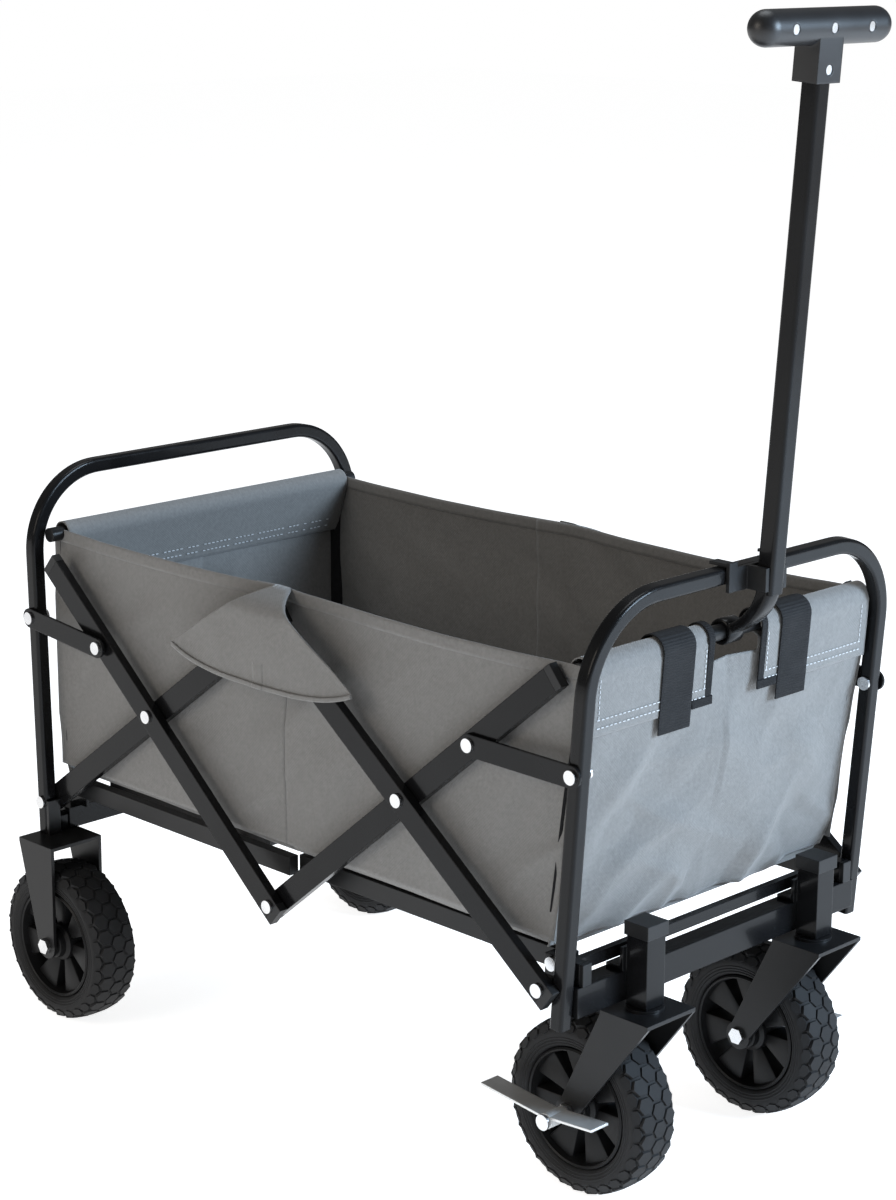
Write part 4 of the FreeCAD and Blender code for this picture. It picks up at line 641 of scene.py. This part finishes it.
def middle_flap(half, body, direction):
    """Half of the flap that hangs outside over the middle joint: it rises to the top edge and has a hem."""
    pieces = []
    reach = 138 * MM
    for side, sign in SIDES.items():
        def rim(distance):
            """Lowest height of the flap this far from its middle."""
            share = distance / reach
            return 468 * MM - 6 * MM * math.cos(math.pi * share / 2) + 12 * MM * share ** 4

        def crest(distance):
            share = max(0.0, distance - 10 * MM) / (reach - 10 * MM)
            return 562 * MM - 78 * MM * share ** 1.08

        def place(u, v, sign=sign):
            distance = -8 * MM + (reach + 8 * MM) * u
            low = rim(max(0.0, distance))
            high = max(low + 2 * MM, crest(max(0.0, distance)))
            z = low + (high - low) * v
            lift = min(1.0, max(0.0, (z - 538 * MM) / (23 * MM)))
            y = FLAP_Y - (FLAP_Y - wall_y) * lift ** 2.2
            wave = ripple((distance, z), 22, 7.0 + sign) * 1.6 + 1.5 * math.cos(distance * 14)
            y += wave * MM * (1 - lift)
            return Vector((middle_x + direction * distance, sign * y, z))

        source = grid_sheet(40, 30, place)
        piece = new_piece("middle_flap_%s_%s" % (half, side), source, OXFORD, body)
        thicken(piece, 1.2 * MM)
        pieces.append(piece)

        def hem(u, v, place=place, sign=sign):
            edge = place(u, 0.0)
            return edge + Vector((0, sign * 1.5 * MM, 5 * MM * v - 0.6 * MM))

        band = new_piece("flap_hem_%s_%s" % (half, side), grid_sheet(60, 3, hem), OXFORD, body)
        thicken(band, 1.0 * MM)
        pieces.append(band)
    return pieces


rear_side_pieces += middle_flap("rear", "rear_frame", -1)
front_side_pieces += middle_flap("front", "front_frame", 1)
pivot_rear = Vector(next(j for j in frame["joints"] if j["name"] == "fold")["pos_m"])
pivot_front = Vector(next(j for j in frame["joints"] if j["name"] == "front_pivot")["pos_m"])
for piece in rear_side_pieces:
    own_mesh(piece)
for piece in front_side_pieces:
    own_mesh(piece)


# ---------------------------------------------------------------- cloth floor
def floor_sheet(half, body, start_x, end_x):
    """The basket's floor cloth on one half of the bottom frame, turned up along both sides."""
    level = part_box("rear_floor_rails")[1].z + 2.2 * MM
    half_width = 208.5 * MM

    def place(u, v):
        y = (u - 0.5) * 2 * half_width
        x = start_x + (end_x - start_x) * v
        rise = max(0.0, (abs(y) - 188 * MM) / (22 * MM)) ** 2 * 22 * MM
        return Vector((x, y, level + rise + ripple((x, y), 12, 9.0) * 1.0 * MM))

    piece = new_piece("floor_cloth_" + half, grid_sheet(50, 44, place), OXFORD, body)
    thicken(piece, 1.2 * MM)
    return piece


floor_sheet("rear", "rear_floor", pivot_rear.x + 14 * MM, middle_x)
floor_sheet("front", "front_floor", middle_x, pivot_front.x - 14 * MM)


# ---------------------------------------------------------------- wheels
WHEEL_RADIUS = 90 * MM
RIM_RADIUS = 62 * MM


def tyre_section():
    """Radius and side offset round the tyre, from the inner bead over the tread to the other bead."""
    base = WHEEL_RADIUS - 1.9 * MM
    half = [
        (RIM_RADIUS, 22 * MM), (RIM_RADIUS + 2 * MM, 25.5 * MM), (RIM_RADIUS + 4 * MM, 26.8 * MM),
        (RIM_RADIUS + 5 * MM, 26.2 * MM), (RIM_RADIUS + 7 * MM, 27.4 * MM), (RIM_RADIUS + 8 * MM, 26.8 * MM),
        (RIM_RADIUS + 10 * MM, 27.8 * MM), (RIM_RADIUS + 11 * MM, 27.2 * MM),
        (RIM_RADIUS + 14 * MM, 27.6 * MM), (RIM_RADIUS + 17.5 * MM, 26.4 * MM),
        (RIM_RADIUS + 21 * MM, 23.4 * MM), (base - 1.2 * MM, 18.5 * MM), (base, 12 * MM),
        (base + 0.3 * MM, 0.0),
    ]
    return half + [(radius, -side) for radius, side in reversed(half[:-1])]


def hex_block(source, angle, side, radius, tilt, around, across, lift):
    """A six-sided tread block that stands on the tyre, tilted in degrees towards its side."""
    place = (Matrix.Rotation(angle, 4, "Y") @ Matrix.Translation((radius, side, 0))
             @ Matrix.Rotation(math.radians(tilt), 4, "Z") @ Matrix.Rotation(math.radians(90), 4, "Y"))
    shape = Matrix.Diagonal((around, across, 1, 1))
    bmesh.ops.create_cone(source, cap_ends=True, segments=6, radius1=1.0, radius2=0.9, depth=lift,
                          matrix=place @ shape)


def make_tyre(name, centre, body, node):
    source = bmesh.new()
    verts = [source.verts.new((radius, side, 0)) for radius, side in tyre_section()]
    edges = [source.edges.new(pair) for pair in zip(verts, verts[1:] + verts[:1])]
    bmesh.ops.spin(source, geom=verts + edges, cent=(0, 0, 0), axis=(0, 1, 0), angle=math.tau, steps=72,
                   use_merge=True)
    bmesh.ops.remove_doubles(source, verts=source.verts, dist=1e-6)
    bmesh.ops.recalc_face_normals(source, faces=source.faces)
    count = 30
    base = WHEEL_RADIUS - 1.9 * MM
    for number in range(count):
        turn = math.tau * number / count
        half_turn = math.pi / count
        hex_block(source, turn, 0.0, base, 0.0, 9.7 * MM, 9.8 * MM, 3.4 * MM)
        for sign in (-1, 1):
            hex_block(source, turn + half_turn, sign * 15.2 * MM, base - 0.8 * MM, sign * 9, 9.6 * MM,
                      9.4 * MM, 3.2 * MM)
            hex_block(source, turn, sign * 24.6 * MM, base - 6.6 * MM, sign * 58, 8.6 * MM, 5.6 * MM,
                      3.0 * MM)
    bmesh.ops.translate(source, verts=source.verts, vec=centre)
    piece = new_piece(name, source, TYRE_RUBBER, body)
    piece.data.set_sharp_from_angle(angle=math.radians(35))
    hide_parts(node)
    return piece


def make_rim(name, centre, body, node):
    """A moulded rim: two lips and a dished ring, a stepped hub and seven wedge spokes."""
    source = bmesh.new()
    ring = [(RIM_RADIUS - 0.3 * MM, 24.5 * MM), (RIM_RADIUS - 2 * MM, 26 * MM),
            (RIM_RADIUS - 3.6 * MM, 25 * MM),
            (RIM_RADIUS - 5 * MM, 18 * MM), (RIM_RADIUS - 6 * MM, 9 * MM), (RIM_RADIUS - 6 * MM, -9 * MM),
            (RIM_RADIUS - 5 * MM, -18 * MM), (RIM_RADIUS - 3.6 * MM, -25 * MM),
            (RIM_RADIUS - 2 * MM, -26 * MM), (RIM_RADIUS - 0.3 * MM, -24.5 * MM)]
    hub = [(5.3 * MM, 28 * MM), (14 * MM, 28 * MM), (16 * MM, 26.5 * MM), (17 * MM, 20 * MM),
           (21 * MM, 17 * MM), (22 * MM, 10 * MM), (22 * MM, -10 * MM), (21 * MM, -17 * MM),
           (17 * MM, -20 * MM), (16 * MM, -26.5 * MM), (14 * MM, -28 * MM), (5.3 * MM, -28 * MM)]
    for section in (ring, hub):
        verts = [source.verts.new((radius, side, 0)) for radius, side in section]
        edges = [source.edges.new(pair) for pair in zip(verts, verts[1:] + verts[:1])]
        bmesh.ops.spin(source, geom=verts + edges, cent=(0, 0, 0), axis=(0, 1, 0), angle=math.tau, steps=64,
                       use_merge=True)
    bmesh.ops.remove_doubles(source, verts=source.verts, dist=1e-6)
    spokes = 7
    for number in range(spokes):
        made = bmesh.ops.create_cube(source, size=1.0)
        verts = made["verts"]
        for vertex in verts:
            outward = vertex.co.x > 0
            half = (18.0 if outward else 6.0) * MM
            depth = (19.0 if outward else 14.0) * MM
            vertex.co = Vector(((57.5 if outward else 19) * MM, math.copysign(depth, vertex.co.y),
                                math.copysign(half, vertex.co.z)))
        edges = list({edge for vertex in verts for edge in vertex.link_edges})
        made_bevel = bmesh.ops.bevel(source, geom=edges, offset=2.0 * MM, segments=2, affect="EDGES",
                                     profile=0.5, material=-1)
        new_verts = list({vertex for face in made_bevel["faces"] for vertex in face.verts} | {
            vertex for vertex in verts if vertex.is_valid})
        bmesh.ops.rotate(source, verts=new_verts, cent=(0, 0, 0),
                         matrix=Matrix.Rotation(math.tau * number / spokes + 0.2, 3, "Y"))
    bmesh.ops.recalc_face_normals(source, faces=source.faces)
    bmesh.ops.translate(source, verts=source.verts, vec=centre)
    piece = new_piece(name, source, RIM_PLASTIC, body)
    piece.data.set_sharp_from_angle(angle=math.radians(38))
    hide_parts(node)
    return piece


for end in ("rear", "front"):
    for side in SIDES:
        stem = "%s_wheel_%s" % (end, side)
        centre = middle(stem + "_tyre")
        make_tyre(stem + "_tread_tyre", centre, stem, stem + "_tyre")
        make_rim(stem + "_spoked_rim", centre, stem, stem + "_rim")


# ---------------------------------------------------------------- bent foot of the handle
def handle_foot():
    """The pole's flattened lower end, bent back to the rod, and the eye that turns on the rod."""
    pole_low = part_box("handle_pole")[0]
    lean = math.radians(3.9)
    down = Vector((-math.sin(lean), 0, -math.cos(lean)))
    foot = Vector((pole_low.x + 10 * MM, 0, pole_low.z + 1 * MM))
    start = foot - down * 14 * MM
    knee = foot + down * 26 * MM
    end = Vector((front_rod.x + 4 * MM, 0, front_rod.z + 2 * MM))

    def place(u, v):
        spine = start * (1 - v) ** 2 + knee * 2 * v * (1 - v) + end * v ** 2
        along = ((knee - start) * (1 - v) + (end - knee) * v).normalized()
        across = Vector((along.z, 0, -along.x))
        turn = math.tau * u
        half_width = (9.6 + 2.2 * math.sin(math.pi * v)) * MM
        half_depth = (9.6 - 4.6 * v) * MM
        round_side = math.copysign(abs(math.cos(turn)) ** 0.55, math.cos(turn))
        round_face = math.copysign(abs(math.sin(turn)) ** 0.55, math.sin(turn))
        dent = 3.5 * MM * math.sin(math.pi * v) * max(0.0, math.sin(turn)) ** 6
        return spine + Vector((0, round_side * half_width, 0)) + across * (round_face * half_depth - dent)

    source = grid_sheet(32, 28, place)
    bmesh.ops.remove_doubles(source, verts=source.verts, dist=0.05 * MM)
    bmesh.ops.holes_fill(source, edges=source.edges, sides=0)
    eye = [(8.6, 11.0), (12.2, 11.0), (13.0, 10.0), (13.0, -10.0), (12.2, -11.0), (8.6, -11.0)]
    verts = [source.verts.new((radius * MM, side * MM, 0)) for radius, side in eye]
    edges = [source.edges.new(pair) for pair in zip(verts, verts[1:] + verts[:1])]
    bmesh.ops.spin(source, geom=verts + edges, cent=(0, 0, 0), axis=(0, 1, 0), angle=math.tau, steps=40,
                   use_merge=True)
    ring = [vertex for vertex in source.verts if Vector((vertex.co.x, 0, vertex.co.z)).length < 20 * MM]
    bmesh.ops.translate(source, verts=ring, vec=(front_rod.x, 0, front_rod.z))
    bmesh.ops.recalc_face_normals(source, faces=source.faces)
    piece = new_piece("handle_bent_foot", source, BLACK_TUBE, "handle")
    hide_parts("handle_arm")


handle_foot()


# ---------------------------------------------------------------- floor, light and camera
def make_floor():
    source = bmesh.new()
    bmesh.ops.create_grid(source, x_segments=1, y_segments=1, size=14)
    material, tree, shader = new_material("pale_floor", Roughness=0.9, Emission_Strength=0.84)
    shader.inputs["Base Color"].default_value = (0.9, 0.9, 0.9, 1)
    shader.inputs["Emission Color"].default_value = (1, 1, 1, 1)
    bmesh.ops.translate(source, verts=source.verts, vec=(0, 0, -0.5 * MM))
    floor = new_piece("studio_floor", source, material)


def area_light(name, place, target, size, power, colour=(1, 1, 1)):
    lamp = bpy.data.lights.new(name, "AREA")
    lamp.shape = "RECTANGLE"
    lamp.size = size
    lamp.size_y = size
    lamp.energy = power
    lamp.color = colour
    holder = bpy.data.objects.new(name, lamp)
    bpy.context.scene.collection.objects.link(holder)
    holder.location = place
    holder.rotation_euler = (Vector(target) - Vector(place)).to_track_quat("-Z", "Y").to_euler()


make_floor()
area_light("key_light", (3.0, 1.3, 1.6), (0, 0, 0.45), 1.2, 165, (0.62, 0.80, 1.0))
area_light("fill_light", (-0.6, -3.4, 2.0), (0, 0, 0.4), 1.6, 32, (1.0, 0.92, 0.82))
area_light("top_light", (-0.2, 0.4, 3.4), (0, 0, 0.3), 1.6, 30, (0.9, 0.95, 1.0))
world = bpy.data.worlds.new("studio")
bpy.context.scene.world = world
world.use_nodes = True
background = world.node_tree.nodes["Background"]
background.inputs["Color"].default_value = (1, 1, 1, 1)
light_path = world.node_tree.nodes.new("ShaderNodeLightPath")
seen = world.node_tree.nodes.new("ShaderNodeMapRange")
seen.inputs["To Min"].default_value = 0.17
seen.inputs["To Max"].default_value = 1.0
world.node_tree.links.new(light_path.outputs["Is Camera Ray"], seen.inputs["Value"])
world.node_tree.links.new(seen.outputs["Result"], background.inputs["Strength"])
bpy.context.scene.view_settings.view_transform = "Standard"

camera_data = bpy.data.cameras.new("camera")
camera = bpy.data.objects.new("camera", camera_data)
bpy.context.scene.collection.objects.link(camera)
CAMERA_PLACE = Vector((1.9387, -1.9405, 1.2206))
CAMERA_TARGET = Vector((-0.0118, 0.0004, 0.5140))
CAMERA_ROLL = math.radians(0.236)
camera_data.sensor_width = 36.0
camera_data.lens = 79.97
camera.location = CAMERA_PLACE
look = (CAMERA_TARGET - CAMERA_PLACE).to_track_quat("-Z", "Y")
camera.rotation_mode = "QUATERNION"
camera.rotation_quaternion = look @ Quaternion((0, 0, 1), CAMERA_ROLL)
camera_data.clip_start = 0.05
camera_data.clip_end = 60
bpy.context.scene.camera = camera
